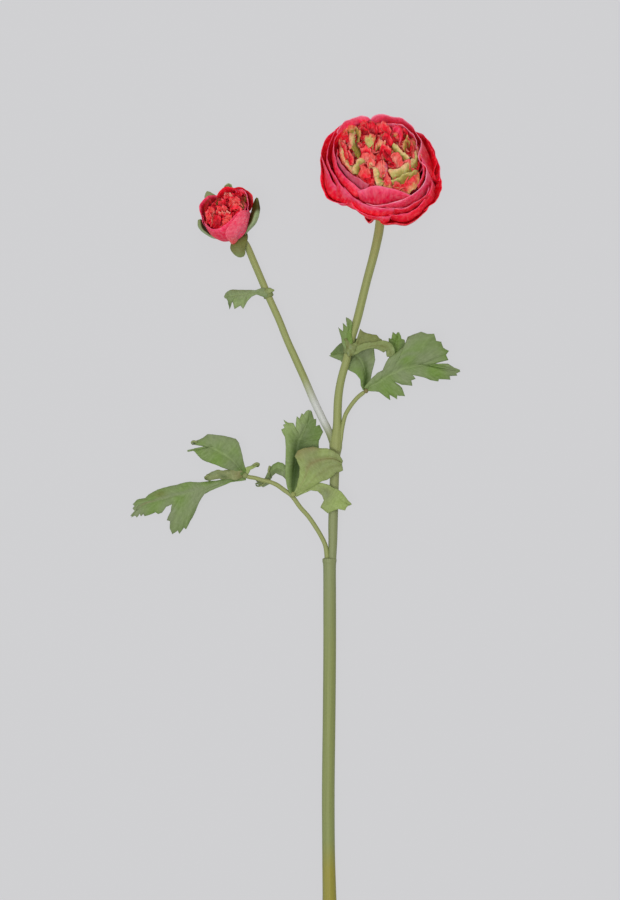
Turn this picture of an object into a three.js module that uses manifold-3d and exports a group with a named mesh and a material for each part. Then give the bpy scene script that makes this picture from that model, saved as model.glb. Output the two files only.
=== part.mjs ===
// A cut spray of Persian buttercup, lying on a table and facing up: an open flower, a bud and cut leaves
// on forked stalks. Millimetres, +Z up, the stalk along +Y.
import * as THREE from 'three';
import { mergeVertices } from 'three/addons/utils/BufferGeometryUtils.js';
import Module from 'manifold-3d';

const wasm = await Module();
wasm.setup();

// Driving dimensions
const BLOOM_WIDTH = 75; // the open flower across
const BLOOM_PIXELS = 121; // the same width in the photograph
const VIEW_HEIGHT = 1570; // the photograph's viewpoint above the table
const MIDDLE_HEIGHT = 20; // height at which the photograph's scale holds
const PHOTO_CENTRE = [310, 450];
const GAP = 0.3; // clearance between neighbouring pieces
const LEAF_THICKNESS = 0.7;
const PETAL_THICKNESS = 0.6;
const STALK_SIDES = 10;

const MM_PER_PIXEL = BLOOM_WIDTH / BLOOM_PIXELS;
const UP = new THREE.Vector3(0, 0, 1);
const GOLDEN_ANGLE = Math.PI * (3 - Math.sqrt(5));

// Where a pixel of the photograph lies in space, at a height above the table
function seenAt([px, py], z) {
  const reach = (MM_PER_PIXEL * (VIEW_HEIGHT - z)) / (VIEW_HEIGHT - MIDDLE_HEIGHT);
  return new THREE.Vector3((px - PHOTO_CENTRE[0]) * reach, (PHOTO_CENTRE[1] - py) * reach, z);
}

// Seeded random numbers between 0 and 1
function randomFrom(seed) {
  let state = seed;
  return () => {
    state = (state * 1664525 + 1013904223) % 4294967296;
    return state / 4294967296;
  };
}

function mix(a, b, t) {
  return a + (b - a) * t;
}

// Solids and geometries

function toSolid(geometry) {
  const bare = geometry.clone();
  bare.deleteAttribute('normal');
  bare.deleteAttribute('uv');
  const merged = mergeVertices(bare, 1e-5);
  const mesh = new wasm.Mesh({
    numProp: 3,
    vertProperties: new Float32Array(merged.attributes.position.array),
    triVerts: new Uint32Array(merged.index.array),
  });
  return new wasm.Manifold(mesh);
}

function fromSolid(solid) {
  const mesh = solid.getMesh();
  const geometry = new THREE.BufferGeometry();
  geometry.setAttribute('position', new THREE.BufferAttribute(mesh.vertProperties, 3));
  geometry.setIndex(new THREE.BufferAttribute(mesh.triVerts, 1));
  geometry.computeVertexNormals();
  return geometry;
}

// Join geometries into one body; sealed hollows are filled and loose scraps dropped
function fuse(geometries) {
  const joined = geometries.map(toSolid).reduce((whole, solid) => whole.add(solid));
  return largestBody(joined);
}

function largestBody(solid) {
  const bodies = solid.decompose();
  return bodies.reduce((best, body) => (body.volume() > best.volume() ? body : best));
}

function closedGeometry(points, triangles) {
  const geometry = new THREE.BufferGeometry();
  const flat = points.flatMap((p) => [p.x, p.y, p.z]);
  geometry.setAttribute('position', new THREE.Float32BufferAttribute(flat, 3));
  geometry.setIndex(triangles);
  return geometry;
}

// A blade of even thickness round a grid of middle points, grid[row][column]. Both faces are split alike.
function bladeGeometry(grid, thickness) {
  const rows = grid.length;
  const columns = grid[0].length;
  const faces = [1, -1].map((side) =>
    grid.flatMap((line, r) =>
      line.map((point, c) => {
        const along = grid[Math.min(r + 1, rows - 1)][c].clone().sub(grid[Math.max(r - 1, 0)][c]);
        const across = line[Math.min(c + 1, columns - 1)].clone().sub(line[Math.max(c - 1, 0)]);
        const normal = along.cross(across).normalize();
        return point.clone().addScaledVector(normal, (side * thickness) / 2);
      }),
    ),
  );
  const under = rows * columns;
  const at = (r, c) => r * columns + c;
  const triangles = [];
  for (let r = 0; r < rows - 1; r += 1) {
    for (let c = 0; c < columns - 1; c += 1) {
      const corners = [at(r, c), at(r + 1, c), at(r + 1, c + 1), at(r, c + 1)];
      const [a, b, d, e] = corners;
      triangles.push(a, b, e, b, d, e);
      triangles.push(under + a, under + e, under + b, under + b, under + e, under + d);
    }
  }
  const rim = [];
  for (let c = 0; c < columns - 1; c += 1) rim.push(at(0, c));
  for (let r = 0; r < rows - 1; r += 1) rim.push(at(r, columns - 1));
  for (let c = columns - 1; c > 0; c -= 1) rim.push(at(rows - 1, c));
  for (let r = rows - 1; r > 0; r -= 1) rim.push(at(r, 0));
  rim.forEach((a, i) => {
    const b = rim[(i + 1) % rim.length];
    triangles.push(a, b, under + a, b, under + b, under + a);
  });
  return closedGeometry(faces.flat(), triangles);
}

// A stalk of changing radius along a smooth curve; each stop of its route is a point with a radius
function stalkGeometry(route, extra = 0) {
  const curve = new THREE.CatmullRomCurve3(route.map((stop) => stop.point));
  const steps = route.length - 1;
  const points = [];
  for (let i = 0; i <= steps; i += 1) {
    const t = i / steps;
    const radius = route[i].radius + extra;
    const centre = curve.getPoint(t);
    const tangent = curve.getTangent(t);
    const side = tangent.clone().cross(UP).normalize();
    const top = side.clone().cross(tangent);
    for (let k = 0; k < STALK_SIDES; k += 1) {
      const turn = (2 * Math.PI * k) / STALK_SIDES;
      points.push(
        centre
          .clone()
          .addScaledVector(side, radius * Math.cos(turn))
          .addScaledVector(top, radius * Math.sin(turn)),
      );
    }
  }
  const first = points.length;
  points.push(curve.getPoint(0), curve.getPoint(1));
  const triangles = [];
  for (let k = 0; k < STALK_SIDES; k += 1) {
    const next = (k + 1) % STALK_SIDES;
    for (let i = 0; i < steps; i += 1) {
      const a = i * STALK_SIDES;
      const b = a + STALK_SIDES;
      triangles.push(a + k, b + next, a + next, a + k, b + k, b + next);
    }
    const last = steps * STALK_SIDES;
    triangles.push(first, k, next, first + 1, last + next, last + k);
  }
  return closedGeometry(points, triangles);
}

// The room that a stalk needs: its own shape grown by the gap, its ends too
function stalkRoom(route) {
  const grown = route.map(({ point, radius }) => ({ point: point.clone(), radius }));
  const last = route.length - 1;
  const lengthen = (end, beside) => {
    const outward = route[end].point.clone().sub(route[beside].point).normalize();
    grown[end].point.addScaledVector(outward, GAP);
  };
  lengthen(0, 1);
  lengthen(last, last - 1);
  return toSolid(stalkGeometry(grown, GAP));
}

// Route stops read as [pixel x, pixel y, height, radius]
function routeOf(stops) {
  return stops.map(([px, py, z, radius]) => ({ point: seenAt([px, py], z), radius }));
}

// A small ball that binds the blades of a leaf at their root
function knuckleGeometry(centre, radius) {
  return new THREE.SphereGeometry(radius, 8, 6).translate(centre.x, centre.y, centre.z);
}

// Flower frames: +Z of each flower runs out of its face

function flowerFrame(pixel, height, axis) {
  const frame = new THREE.Group();
  frame.position.copy(seenAt(pixel, height));
  frame.quaternion.setFromUnitVectors(UP, axis.clone().normalize());
  return frame;
}

const BLOOM_AXIS = new THREE.Vector3(-0.06, 0.5, 0.86).normalize();
const bloomFrame = flowerFrame([381.5, 182.4], 15.3, BLOOM_AXIS);
const BUD_AXIS = new THREE.Vector3(-0.42, 0.64, 0.643).normalize();
const budFrame = flowerFrame([238.5, 232.5], 10.2, BUD_AXIS);
const BLOOM_CUP_DEPTH = 6;
const BUD_CUP_DEPTH = 5;

// The last stops of a stalk, which turns up into the cup behind a flower
function neckStops(frame, axis, cupDepth, radius) {
  const end = frame.position.clone().addScaledVector(axis, -cupDepth - GAP);
  const bend = end.clone().addScaledVector(axis, -1.2 * radius);
  return [
    { point: bend, radius },
    { point: end, radius },
  ];
}

// Stalks

const LOWER_ROUTE = routeOf([
  [329.5, 908, 4.7, 4.6],
  [329.3, 893, 4.6, 4.3],
  [328.5, 850, 4.8, 4.0],
  [328.2, 790, 5.1, 4.0],
  [329, 720, 5.6, 4.0],
  [329.6, 650, 6.1, 4.0],
  [329.6, 600, 6.5, 4.0],
  [329.5, 565, 6.8, 4.0],
  [329.5, 558, 6.9, 4.4],
  [329.5, 555.5, 6.9, 4.4],
]);

const MAIN_ROUTE = [
  ...routeOf([
    [332.4, 555, 6.9, 2.6],
    [332.8, 540, 7.1, 2.8],
    [333, 520, 7.4, 3.0],
    [334.3, 480, 7.9, 2.9],
    [335, 458, 8.1, 3.1],
    [335.6, 447, 8.2, 4.0],
    [336, 438, 8.3, 3.7],
    [337.2, 426, 8.4, 2.8],
    [338, 400, 8.5, 2.6],
    [341, 380, 8.6, 2.5],
    [346.5, 360, 8.6, 2.5],
    [351, 340, 8.6, 2.5],
    [357, 320, 8.5, 2.6],
    [362, 300, 8.3, 2.6],
    [367, 280, 8.1, 2.6],
    [372, 260, 7.9, 2.6],
    [375.5, 244, 7.6, 2.7],
    [378.5, 228, 7.1, 2.7],
    [380.3, 210, 6.0, 2.7],
    [381.2, 197, 4.6, 2.6],
  ]),
  ...neckStops(bloomFrame, BLOOM_AXIS, BLOOM_CUP_DEPTH, 2.5),
];

const BUD_BRANCH_ROUTE = [
  ...routeOf([
    [335, 452, 8.2, 1.8],
    [332, 441, 8.5, 2.1],
    [328.6, 431, 8.8, 2.3],
    [322, 418, 8.9, 2.4],
    [313.5, 400, 9.0, 2.4],
    [305, 380, 9.0, 2.3],
    [296, 360, 8.9, 2.3],
    [287, 340, 8.7, 2.2],
    [279, 320, 8.4, 2.2],
    [270, 300, 8.0, 2.2],
    [261.5, 280, 7.5, 2.2],
    [253, 260, 6.8, 2.2],
    [247.5, 247, 5.6, 2.1],
  ]),
  ...neckStops(budFrame, BUD_AXIS, BUD_CUP_DEPTH, 2.0),
];

const LEFT_PETIOLE_ROUTE = routeOf([
  [325.3, 555, 6.9, 1.3],
  [324.6, 545, 7.6, 1.4],
  [321, 536, 8.2, 1.4],
  [315, 526, 8.6, 1.4],
  [308, 516, 8.9, 1.4],
  [300, 507, 9.1, 1.4],
  [292, 496, 9.2, 1.4],
  [284, 490, 9.2, 1.4],
  [277, 485, 9.1, 1.4],
  [270, 482, 9.0, 1.3],
  [262, 480, 8.9, 1.3],
  [255, 478, 8.8, 1.3],
  [249, 477, 8.8, 1.3],
]);

const RIGHT_PETIOLE_ROUTE = routeOf([
  [339.4, 448, 8.9, 1.0],
  [341, 440, 9.2, 1.1],
  [341.6, 432, 9.5, 1.3],
  [343, 424, 9.8, 1.3],
  [345, 416, 9.9, 1.3],
  [348, 410, 9.9, 1.3],
  [352, 404, 9.8, 1.3],
  [357, 398, 9.6, 1.3],
  [361, 394.5, 9.4, 1.3],
  [364, 392.3, 9.2, 1.2],
]);

// The stem swells at its fork, where both side stalks' roots plug in
function mainStemGeometry() {
  const sideRoutes = [BUD_BRANCH_ROUTE, RIGHT_PETIOLE_ROUTE];
  const bored = sideRoutes.reduce(
    (solid, route) => solid.subtract(stalkRoom(route)),
    toSolid(stalkGeometry(MAIN_ROUTE)),
  );
  return fromSolid(largestBody(bored));
}

// Leaves. A blade is a list of stations from root to tip, each
// [left edge x, y, midrib x, y, midrib height, right edge x, y] in pixels of the photograph, the height in
// millimetres. Its halves rise from the midrib by a slope given at the root and at the tip.

const RIGHT_LEAF_ROOT = [366, 391, 9.4];
const RIGHT_LEAF_MAIN = {
  stations: [
    [363, 388, 366, 391, 9.4, 367, 393],
    [371, 379, 371, 387, 9.8, 379, 393],
    [377, 373, 375, 384, 10.2, 390, 400],
    [383, 370, 378, 382, 10.5, 389.5, 394.5],
    [386, 363, 380, 380.5, 10.8, 397, 399],
    [388, 359, 382, 379.5, 11.0, 397, 395],
    [394, 354.5, 383.5, 378.5, 11.3, 405, 396],
    [400, 350, 385, 377.5, 11.6, 402, 387.5],
    [408, 343, 388, 376, 12.0, 393, 381],
    [408, 337, 391, 374.5, 12.3, 402, 384.5],
    [415, 334, 394, 373, 12.5, 412, 385.5],
    [421, 332, 397, 371.5, 12.7, 411, 380],
    [427, 334, 400, 370, 12.8, 415.5, 378.5],
    [434, 334, 404, 368.7, 12.9, 412.5, 375],
    [436, 341, 407, 367.5, 12.9, 424, 377.5],
    [441, 342, 410, 366.5, 12.8, 431, 380],
    [443, 348, 413, 365.8, 12.6, 438, 381.5],
    [449, 351, 416, 365.2, 12.4, 438.5, 379],
    [446, 355, 418, 364.8, 12.2, 450, 379.5],
    [448, 360, 420, 364.5, 12.0, 449.5, 376],
    [432, 363.5, 428, 366, 11.4, 457, 375.5],
    [448, 364, 438, 368, 10.6, 456, 373.5],
    [454, 367.5, 449, 369.8, 9.6, 459, 372],
    [460, 370, 459.5, 370.8, 8.8, 460.3, 371.8],
  ],
  left: [0.35, -0.12],
  right: [0.1, -0.16],
};
const RIGHT_LEAF_BACK = {
  stations: [
    [364, 389, 366, 390, 8.8, 367, 391],
    [372, 378, 375, 379, 8.2, 377, 381],
    [381, 366, 384, 367, 7.4, 387, 370],
    [387.5, 353, 392, 355, 6.6, 396, 358],
    [389, 346, 395, 347, 6.2, 405, 346],
    [389, 338, 396, 343.5, 6.0, 404, 340],
    [391.5, 339.5, 396.7, 341, 5.9, 401, 339],
    [393, 332.5, 397.2, 338.5, 5.8, 400.5, 335.5],
    [395.8, 335, 397.8, 336, 5.7, 399.8, 334.5],
    [397.8, 332.2, 398.3, 332.8, 5.6, 399, 332.6],
  ],
  left: [0.2, -0.1],
  right: [0.2, 0.1],
};
const RIGHT_LEAF_BEHIND = {
  stations: [
    [363, 390, 365, 390, 8.8, 367.5, 390],
    [361, 385, 365, 382, 7.4, 370, 380],
    [360.5, 379, 365, 374, 5.6, 372.5, 370],
    [356, 373.5, 364, 367, 4.6, 375, 360],
    [349.5, 370, 361, 360, 3.9, 374, 349],
    [344, 365.5, 356, 355, 3.5, 365, 340],
    [341, 360.5, 350, 353, 3.4, 352, 338],
    [334, 358, 341, 353, 3.4, 340, 344],
    [329, 355.5, 331, 355.5, 3.5, 330.5, 353.5],
  ],
  left: [0.5, 0],
  right: [0.5, 0],
};

const INNER_LEAF_ROOT = [293, 494.5, 11.0];
const INNER_LEAF_TALL = {
  stations: [
    [291, 495, 293, 494.5, 10.8, 295, 494],
    [287.5, 488, 293, 486, 9.6, 299, 484],
    [285.5, 477, 293.5, 475, 8.2, 304, 474],
    [286, 462, 295, 461, 7.2, 310, 463],
    [286.5, 447, 296.5, 452, 6.9, 315.5, 454],
    [285, 437, 297.2, 446.5, 6.9, 318.5, 448],
    [281.5, 430, 297.6, 444, 7.0, 318.8, 442],
    [285, 428, 298, 442.5, 7.1, 319, 440.5],
    [283.5, 425, 298.3, 441.5, 7.2, 320, 439],
    [286, 424, 298.6, 440.7, 7.3, 321, 436.5],
    [284, 420, 298.9, 440, 7.4, 322, 434.5],
    [288, 422.5, 299.3, 439.3, 7.5, 323, 432.5],
    [293.5, 423.5, 299.8, 438.6, 7.6, 321.5, 429.5],
    [296, 430, 301, 436, 7.8, 319.5, 425],
    [296, 424, 303, 432, 8.2, 315.5, 426.3],
    [297, 416.5, 304.5, 429, 8.5, 316, 419],
    [300, 419, 305.5, 427, 8.7, 313.5, 419],
    [302, 413.5, 306.5, 425, 8.9, 312.8, 416],
    [304, 415, 307.5, 422.5, 9.1, 312, 413.5],
    [306, 411.5, 308.5, 419, 9.4, 311.3, 411.5],
    [309.2, 410.2, 309.8, 411.5, 10.0, 310.5, 410.5],
  ],
  left: [0.7, 0.05],
  right: [0.5, 0.02],
};
const INNER_LEAF_FRONT = {
  stations: [
    [293, 493.5, 294.5, 495, 11.0, 296, 496],
    [297, 486, 300, 489, 12.6, 304, 491.5],
    [299.5, 476, 305, 483.5, 13.8, 311, 487.5],
    [299.5, 467, 309, 479, 14.6, 316, 484],
    [297, 460, 312, 475.5, 15.2, 319, 482.3],
    [295, 456.5, 314.5, 473, 15.6, 321, 481.3],
    [298, 450.5, 317, 470.8, 15.9, 324, 480.3],
    [305, 448, 319.5, 468.7, 16.1, 327, 479.5],
    [313, 446.8, 322, 467, 16.2, 330, 477.8],
    [320, 448.5, 325, 465.2, 16.2, 333, 475.5],
    [327, 448.7, 328, 463.8, 16.1, 336, 472],
    [333, 451, 331.5, 463, 15.9, 339.5, 471.5],
    [339, 455, 336, 463, 15.6, 343, 470],
    [342.5, 461, 341.5, 464, 15.2, 342, 466],
  ],
  left: [0.1, -0.12],
  right: [-0.2, -0.1],
};
const INNER_LEAF_LOW = {
  stations: [
    [296, 493.5, 296, 495, 11.2, 296.5, 496.5],
    [304, 488.8, 304.5, 491, 12.0, 304, 493],
    [312, 485, 312, 487.8, 12.8, 311, 490.3],
    [320.5, 483, 319.5, 487, 13.4, 318, 491],
    [329, 485.3, 325.5, 489.5, 13.8, 322, 495],
    [333, 488, 329, 493, 14.0, 324, 500],
    [337, 489.3, 331.5, 496.5, 14.1, 320.5, 507],
    [341, 492, 335, 500, 14.0, 328, 513],
    [345, 496.5, 340, 502, 13.8, 338, 508.7],
    [348.5, 501, 344, 504, 13.5, 345, 510],
    [351.5, 504, 350.5, 504.9, 13.0, 346.8, 505.8],
  ],
  left: [-0.1, -0.1],
  right: [-0.3, -0.15],
};
const INNER_LEAF_HOOK = {
  stations: [
    [290, 482, 290.5, 486, 9.8, 291.5, 489],
    [287, 467, 286.5, 473.5, 9.6, 286, 479.5],
    [283, 463.3, 282.5, 469.5, 9.4, 282, 475.8],
    [278, 462, 277, 467.5, 8.8, 276, 473],
    [273, 464.5, 272.8, 470, 7.8, 272.5, 476],
    [269, 470, 269.7, 475, 6.5, 270.5, 480.5],
    [264.5, 479, 266.5, 481.5, 5.4, 269, 484],
    [255.5, 483.5, 260, 485, 4.6, 263, 487],
  ],
  left: [-0.2, -0.5],
  right: [-0.1, -0.2],
};

const TIP_LEAF_ROOT = [245.3, 475.5, 9.0];
const TIP_LEAF_UPPER = {
  stations: [
    [246, 470, 244, 473.5, 9.4, 241, 475.5],
    [244, 465, 240, 468.5, 10.0, 234, 471.5],
    [242.3, 459, 236, 464, 10.4, 228, 469.5],
    [240.8, 450, 232, 460.5, 10.8, 224, 468],
    [239, 443, 227.5, 457, 11.0, 219, 466],
    [236, 439, 223.5, 454.3, 11.1, 214.5, 464.3],
    [230, 437.3, 220, 452, 11.1, 210, 462.7],
    [223, 436, 217.5, 450.3, 11.0, 206, 461],
    [215, 435, 215.5, 449, 10.9, 203, 459.5],
    [207.5, 434.5, 213.8, 448, 10.8, 201, 458.2],
    [203, 438, 212.3, 447.2, 10.7, 199.7, 457],
    [192.5, 442.3, 211, 446.6, 10.6, 198.5, 455.8],
    [194, 444.4, 210, 446.7, 10.5, 197.5, 454.7],
    [205, 446.4, 207.5, 447.4, 10.3, 196.3, 453.3],
    [199, 447.4, 200.5, 449, 9.8, 194.5, 451.3],
    [193, 449.2, 193.2, 450, 9.2, 192.5, 450.9],
    [187.5, 450.5, 187.2, 451, 8.8, 187.3, 451.7],
  ],
  left: [0.1, -0.25],
  right: [0.1, 0.05],
};
const TIP_LEAF_EDGE_ON = {
  stations: [
    [244, 471, 244, 474, 9.6, 244, 477],
    [235, 470, 235.5, 474.5, 11.5, 236, 479.5],
    [226, 470, 227, 474.7, 12.4, 228, 479.5],
    [218, 470.7, 219.5, 474.8, 12.6, 221, 479],
    [212, 472, 213, 475, 12.2, 215, 478.3],
    [206, 474.5, 208, 477, 11.4, 209.5, 480.5],
    [204, 477, 205, 477.8, 10.8, 206, 478.3],
  ],
  left: [-0.5, -1.1],
  right: [-0.3, -0.5],
};
const TIP_LEAF_LOWER = {
  stations: [
    [244, 476, 245, 478, 8.8, 245.5, 480],
    [230, 478.5, 231, 480.5, 9.0, 231, 482],
    [216, 480.7, 219, 484, 9.0, 213, 489.5],
    [205, 482, 210, 487, 8.8, 204, 494],
    [200, 482.3, 206, 488.5, 8.6, 199, 502],
    [196, 482.2, 203, 489.3, 8.5, 195.5, 510],
    [193, 482, 200, 490, 8.3, 192, 517],
    [190, 481.8, 197, 490.8, 8.2, 186, 529],
    [187, 482, 195, 491.2, 8.1, 184, 527.3],
    [184, 482.7, 193, 491.7, 8.0, 179.5, 533.5],
    [181, 483.5, 191, 492.2, 7.9, 178, 530.5],
    [178.5, 484.2, 189, 492.7, 7.8, 172.5, 534],
    [176, 484.9, 187, 493.2, 7.7, 170, 529],
    [173.5, 485.5, 185, 493.7, 7.6, 170.3, 521],
    [171, 486, 183, 494.2, 7.5, 167, 520],
    [168.5, 486.7, 181, 494.6, 7.4, 171, 511],
    [166, 487.4, 176, 495.6, 7.2, 172, 504],
    [163, 488.2, 171, 496.8, 6.9, 166, 506.5],
    [158, 489.5, 167, 497.8, 6.6, 162, 512.3],
    [153, 492, 163, 498.8, 6.3, 158, 513.6],
    [149, 494.5, 159.5, 499.7, 6.1, 155.5, 511.8],
    [145.5, 497.8, 156, 500.7, 5.9, 150, 514.5],
    [141, 499, 152.5, 501.7, 5.6, 144.5, 516],
    [137, 500, 149, 502.7, 5.4, 143, 513.6],
    [133, 504, 145.5, 503.8, 5.2, 141, 516],
    [135, 505.7, 142.5, 505.2, 5.0, 139.7, 513.3],
    [133, 508.3, 140, 507, 4.8, 137, 517.3],
    [135, 510.5, 137.5, 510, 4.5, 135.3, 515],
    [131, 515.5, 132.5, 515, 4.0, 131.7, 516.7],
  ],
  left: [-0.3, -0.35],
  right: [-0.1, -0.12],
};
const TIP_LEAF_CURL = {
  stations: [
    [244, 468.5, 245.5, 472, 9.4, 247.5, 475],
    [249.5, 466.3, 250, 467.5, 9.6, 250.5, 469],
    [255, 463.7, 255.5, 465, 9.4, 256, 466.7],
    [258, 463.4, 258.5, 464.3, 9.0, 259, 465.5],
  ],
  left: [-0.2, -0.4],
  right: [-0.2, -0.4],
};

const STEM_BRACT_ROOT = [352, 351, 11.6];
const STEM_BRACT_TEETH = {
  stations: [
    [349, 353, 351, 352, 11.8, 354, 350],
    [345, 349.5, 349, 347, 11.9, 352.5, 344],
    [342.5, 344, 347.5, 342.5, 11.9, 352, 339],
    [341, 338, 347, 340, 11.8, 351.5, 336.5],
    [338.5, 327.5, 347, 337.5, 11.7, 351.3, 334],
    [343.3, 331.5, 347, 335.5, 11.7, 351.5, 331],
    [343, 323, 347.3, 333, 11.6, 351.7, 328.5],
    [347.3, 326.8, 348.3, 330, 11.6, 352, 325.5],
    [346.7, 320, 349, 325.5, 11.6, 351.7, 321.5],
    [346.8, 317.3, 347.6, 318.5, 11.6, 348.4, 318],
  ],
  left: [-0.25, -0.3],
  right: [0, 0],
};
const STEM_BRACT_UPPER = {
  stations: [
    [352, 347, 354, 349, 11.8, 355, 351.5],
    [356.5, 341, 358, 344, 12.2, 359, 347],
    [360, 328.7, 361.3, 337, 12.0, 362, 344.8],
    [363.7, 332.5, 365, 338.5, 11.7, 366, 344],
    [370, 333.8, 370.5, 338.8, 11.4, 371, 343.3],
    [376, 335.5, 376.5, 339, 11.0, 377, 342],
    [381.8, 339.3, 382, 340.2, 10.6, 382, 341],
  ],
  left: [0.1, -0.4],
  right: [-0.2, -0.4],
};
const STEM_BRACT_LOWER = {
  stations: [
    [352, 349, 352, 352.5, 11.8, 351.5, 356],
    [357, 345.5, 357, 349.5, 12.4, 357, 353.5],
    [364, 343, 363.5, 346.5, 12.9, 363, 350],
    [372, 342, 371, 345.5, 13.3, 370, 348.5],
    [380, 341, 379, 344.8, 13.6, 377, 348.5],
    [388, 341.5, 386, 346, 13.8, 383.5, 352.3],
    [392, 344.5, 389, 348.5, 13.8, 386, 350.5],
    [394, 350, 391, 352.5, 13.6, 387.5, 356.5],
    [394.7, 356.2, 393.5, 356, 13.2, 392.5, 357],
  ],
  left: [-0.2, -0.5],
  right: [-0.1, -0.3],
};

const BUD_BRACT_ROOT = [267.5, 292, 11.0];
const BUD_BRACT_BLADE = {
  stations: [
    [268, 288.5, 267.5, 293, 11.0, 267, 297.5],
    [262, 288.3, 261.5, 292, 11.2, 260.5, 295.7],
    [256, 290.3, 256, 292.2, 11.4, 256, 294.2],
    [251, 290.2, 251.5, 292.6, 11.6, 251.5, 296.5],
    [247, 290, 248.5, 293, 11.7, 247, 301.5],
    [243, 290, 246, 293.3, 11.8, 243, 308.5],
    [240, 290, 243.5, 293.8, 11.8, 240.5, 305],
    [237.5, 289.8, 240.5, 294.3, 11.8, 234.5, 308.5],
    [235, 289.6, 237, 295, 11.7, 233, 301.5],
    [232.5, 289.5, 234.5, 295.5, 11.6, 231.5, 303],
    [230, 290.3, 232.5, 295.7, 11.4, 229.5, 309],
    [228, 291.5, 230, 296, 11.2, 228.3, 301],
    [226, 293.5, 227.5, 296.3, 10.9, 226.5, 298.3],
    [224.3, 296.5, 224.8, 297.2, 10.6, 224.8, 298.1],
  ],
  left: [-0.3, -0.5],
  right: [-0.2, -0.3],
};
const BUD_BRACT_TIP = {
  stations: [
    [266, 288.5, 266.5, 291, 11.0, 267, 293.5],
    [270.5, 288.2, 270.5, 290, 11.2, 270.5, 292.3],
    [274, 289.8, 274.3, 290.5, 10.8, 274, 291.2],
  ],
  left: [-0.2, -0.3],
  right: [-0.2, -0.3],
};

// Middle points of a blade, five across: edge, half-way, midrib, half-way, edge
function leafGrid({ stations, left, right }) {
  return stations.map(([lx, ly, mx, my, height, rx, ry], i) => {
    const t = i / (stations.length - 1);
    const middle = seenAt([mx, my], height);
    const edge = (px, py, slopes) => {
      const rise = mix(slopes[0], slopes[1], t) * Math.hypot(px - mx, py - my) * MM_PER_PIXEL;
      return seenAt([px, py], height + rise);
    };
    const leftEdge = edge(lx, ly, left);
    const rightEdge = edge(rx, ry, right);
    const halfWay = (side) => side.clone().lerp(middle, 0.5);
    return [leftEdge, halfWay(leftEdge), middle, halfWay(rightEdge), rightEdge];
  });
}

// A leaf: its blades fused at a knuckle, cut clear of the stalks that it meets
function leafGeometry(blades, root, knuckleRadius, stalks) {
  const knuckle = knuckleGeometry(seenAt([root[0], root[1]], root[2]), knuckleRadius);
  const body = fuse([knuckle, ...blades.map((blade) => bladeGeometry(leafGrid(blade), LEAF_THICKNESS))]);
  const clear = stalks.reduce((solid, route) => solid.subtract(stalkRoom(route)), body);
  return fromSolid(largestBody(clear));
}

// The short collars round the stalks that the clasping leaves grow from
const STEM_COLLAR = routeOf([
  [348.4, 353.5, 8.6, 3.5],
  [350.9, 344, 8.6, 3.7],
]);
const BUD_COLLAR = routeOf([
  [268.9, 297, 7.9, 3.2],
  [265.9, 290, 7.75, 3.4],
]);

function bractGeometry(blades, collar, stalk) {
  const body = fuse([collar, ...blades.map((blade) => bladeGeometry(leafGrid(blade), LEAF_THICKNESS))]);
  return fromSolid(largestBody(body.subtract(stalkRoom(stalk))));
}

// Petals, in their flower's frame. A profile runs from root to rim as four [radius, height] points.

function bezier([a, b, c, d], t) {
  const s = 1 - t;
  return s * s * s * a + 3 * s * s * t * b + 3 * s * t * t * c + t * t * t * d;
}

function petalWidth(s) {
  return mix(0.4, 1, Math.sqrt(s));
}

function petalGrid(petal, rows, columns) {
  const { azimuth, spread, profile, width = petalWidth, ruffle = 0, waves = 2, phase = 0 } = petal;
  const grid = [];
  for (let r = 0; r < rows; r += 1) {
    const s = r / (rows - 1);
    const line = [];
    for (let c = 0; c < columns; c += 1) {
      const t = mix(-1, 1, c / (columns - 1));
      const along = s * (1 - 0.2 * Math.abs(t) ** 3);
      const points = profile(t);
      const wave = ruffle * s * s * Math.sin(waves * Math.PI * t + phase);
      const radius = bezier(points.map((p) => p[0]), along) + wave;
      const height = bezier(points.map((p) => p[1]), along) + 0.4 * wave;
      const turn = azimuth + spread * t * width(s);
      line.push(new THREE.Vector3(radius * Math.cos(turn), radius * Math.sin(turn), height));
    }
    grid.push(line);
  }
  return grid;
}

// Bloom profile at a layer from 0, round the heart, to 1, outermost
function bloomProfile(layer, rimRadius, rimHeight) {
  return [
    [5, mix(7.8, 0, layer)],
    [mix(20, 22, layer), mix(8.2, -1, layer)],
    [mix(30, rimRadius - 3, layer), mix(19, rimHeight - 5, layer)],
    [rimRadius, rimHeight],
  ];
}

// Inner petals go round by the golden angle; the outer ones lie as [azimuth, spread, rim radius, rim height]
const INNER_PETALS = 14;
const INNER_SPREAD = 50;
const LAST_INNER_LAYER = 0.66;
const OUTER_PETALS = [
  [10, 46, 35, 18],
  [128, 46, 35.5, 17],
  [240, 44, 35, 15],
  [318, 42, 36, 13],
  [195, 42, 37, 11],
  [60, 46, 36.5, 10],
  [350, 42, 37.5, 9],
  [262, 36, 34, 8],
  [100, 50, 37.5, 5],
  [298, 38, 37.5, 6],
];

function bloomPetals() {
  const random = randomFrom(7);
  const radians = THREE.MathUtils.degToRad;
  const inner = Array.from({ length: INNER_PETALS }, (_, i) => {
    const layer = (LAST_INNER_LAYER * i) / (INNER_PETALS - 1);
    return {
      layer,
      azimuth: i * GOLDEN_ANGLE,
      spread: radians(INNER_SPREAD * mix(0.9, 1.1, random())),
      rimRadius: mix(28, 37, layer),
      rimHeight: mix(34, 12, layer),
    };
  });
  const outer = OUTER_PETALS.map(([azimuth, spread, rimRadius, rimHeight], i) => ({
    layer: mix(LAST_INNER_LAYER, 1, (i + 1) / OUTER_PETALS.length),
    azimuth: radians(azimuth),
    spread: radians(spread),
    rimRadius,
    rimHeight,
  }));
  return [...inner, ...outer].map(({ layer, rimRadius, rimHeight, ...petal }) => ({
    ...petal,
    profile: (t) => bloomProfile(layer + 0.012 * t, rimRadius, rimHeight),
    ruffle: mix(0.1, 0.9, layer),
    phase: 6 * random(),
  }));
}

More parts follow.
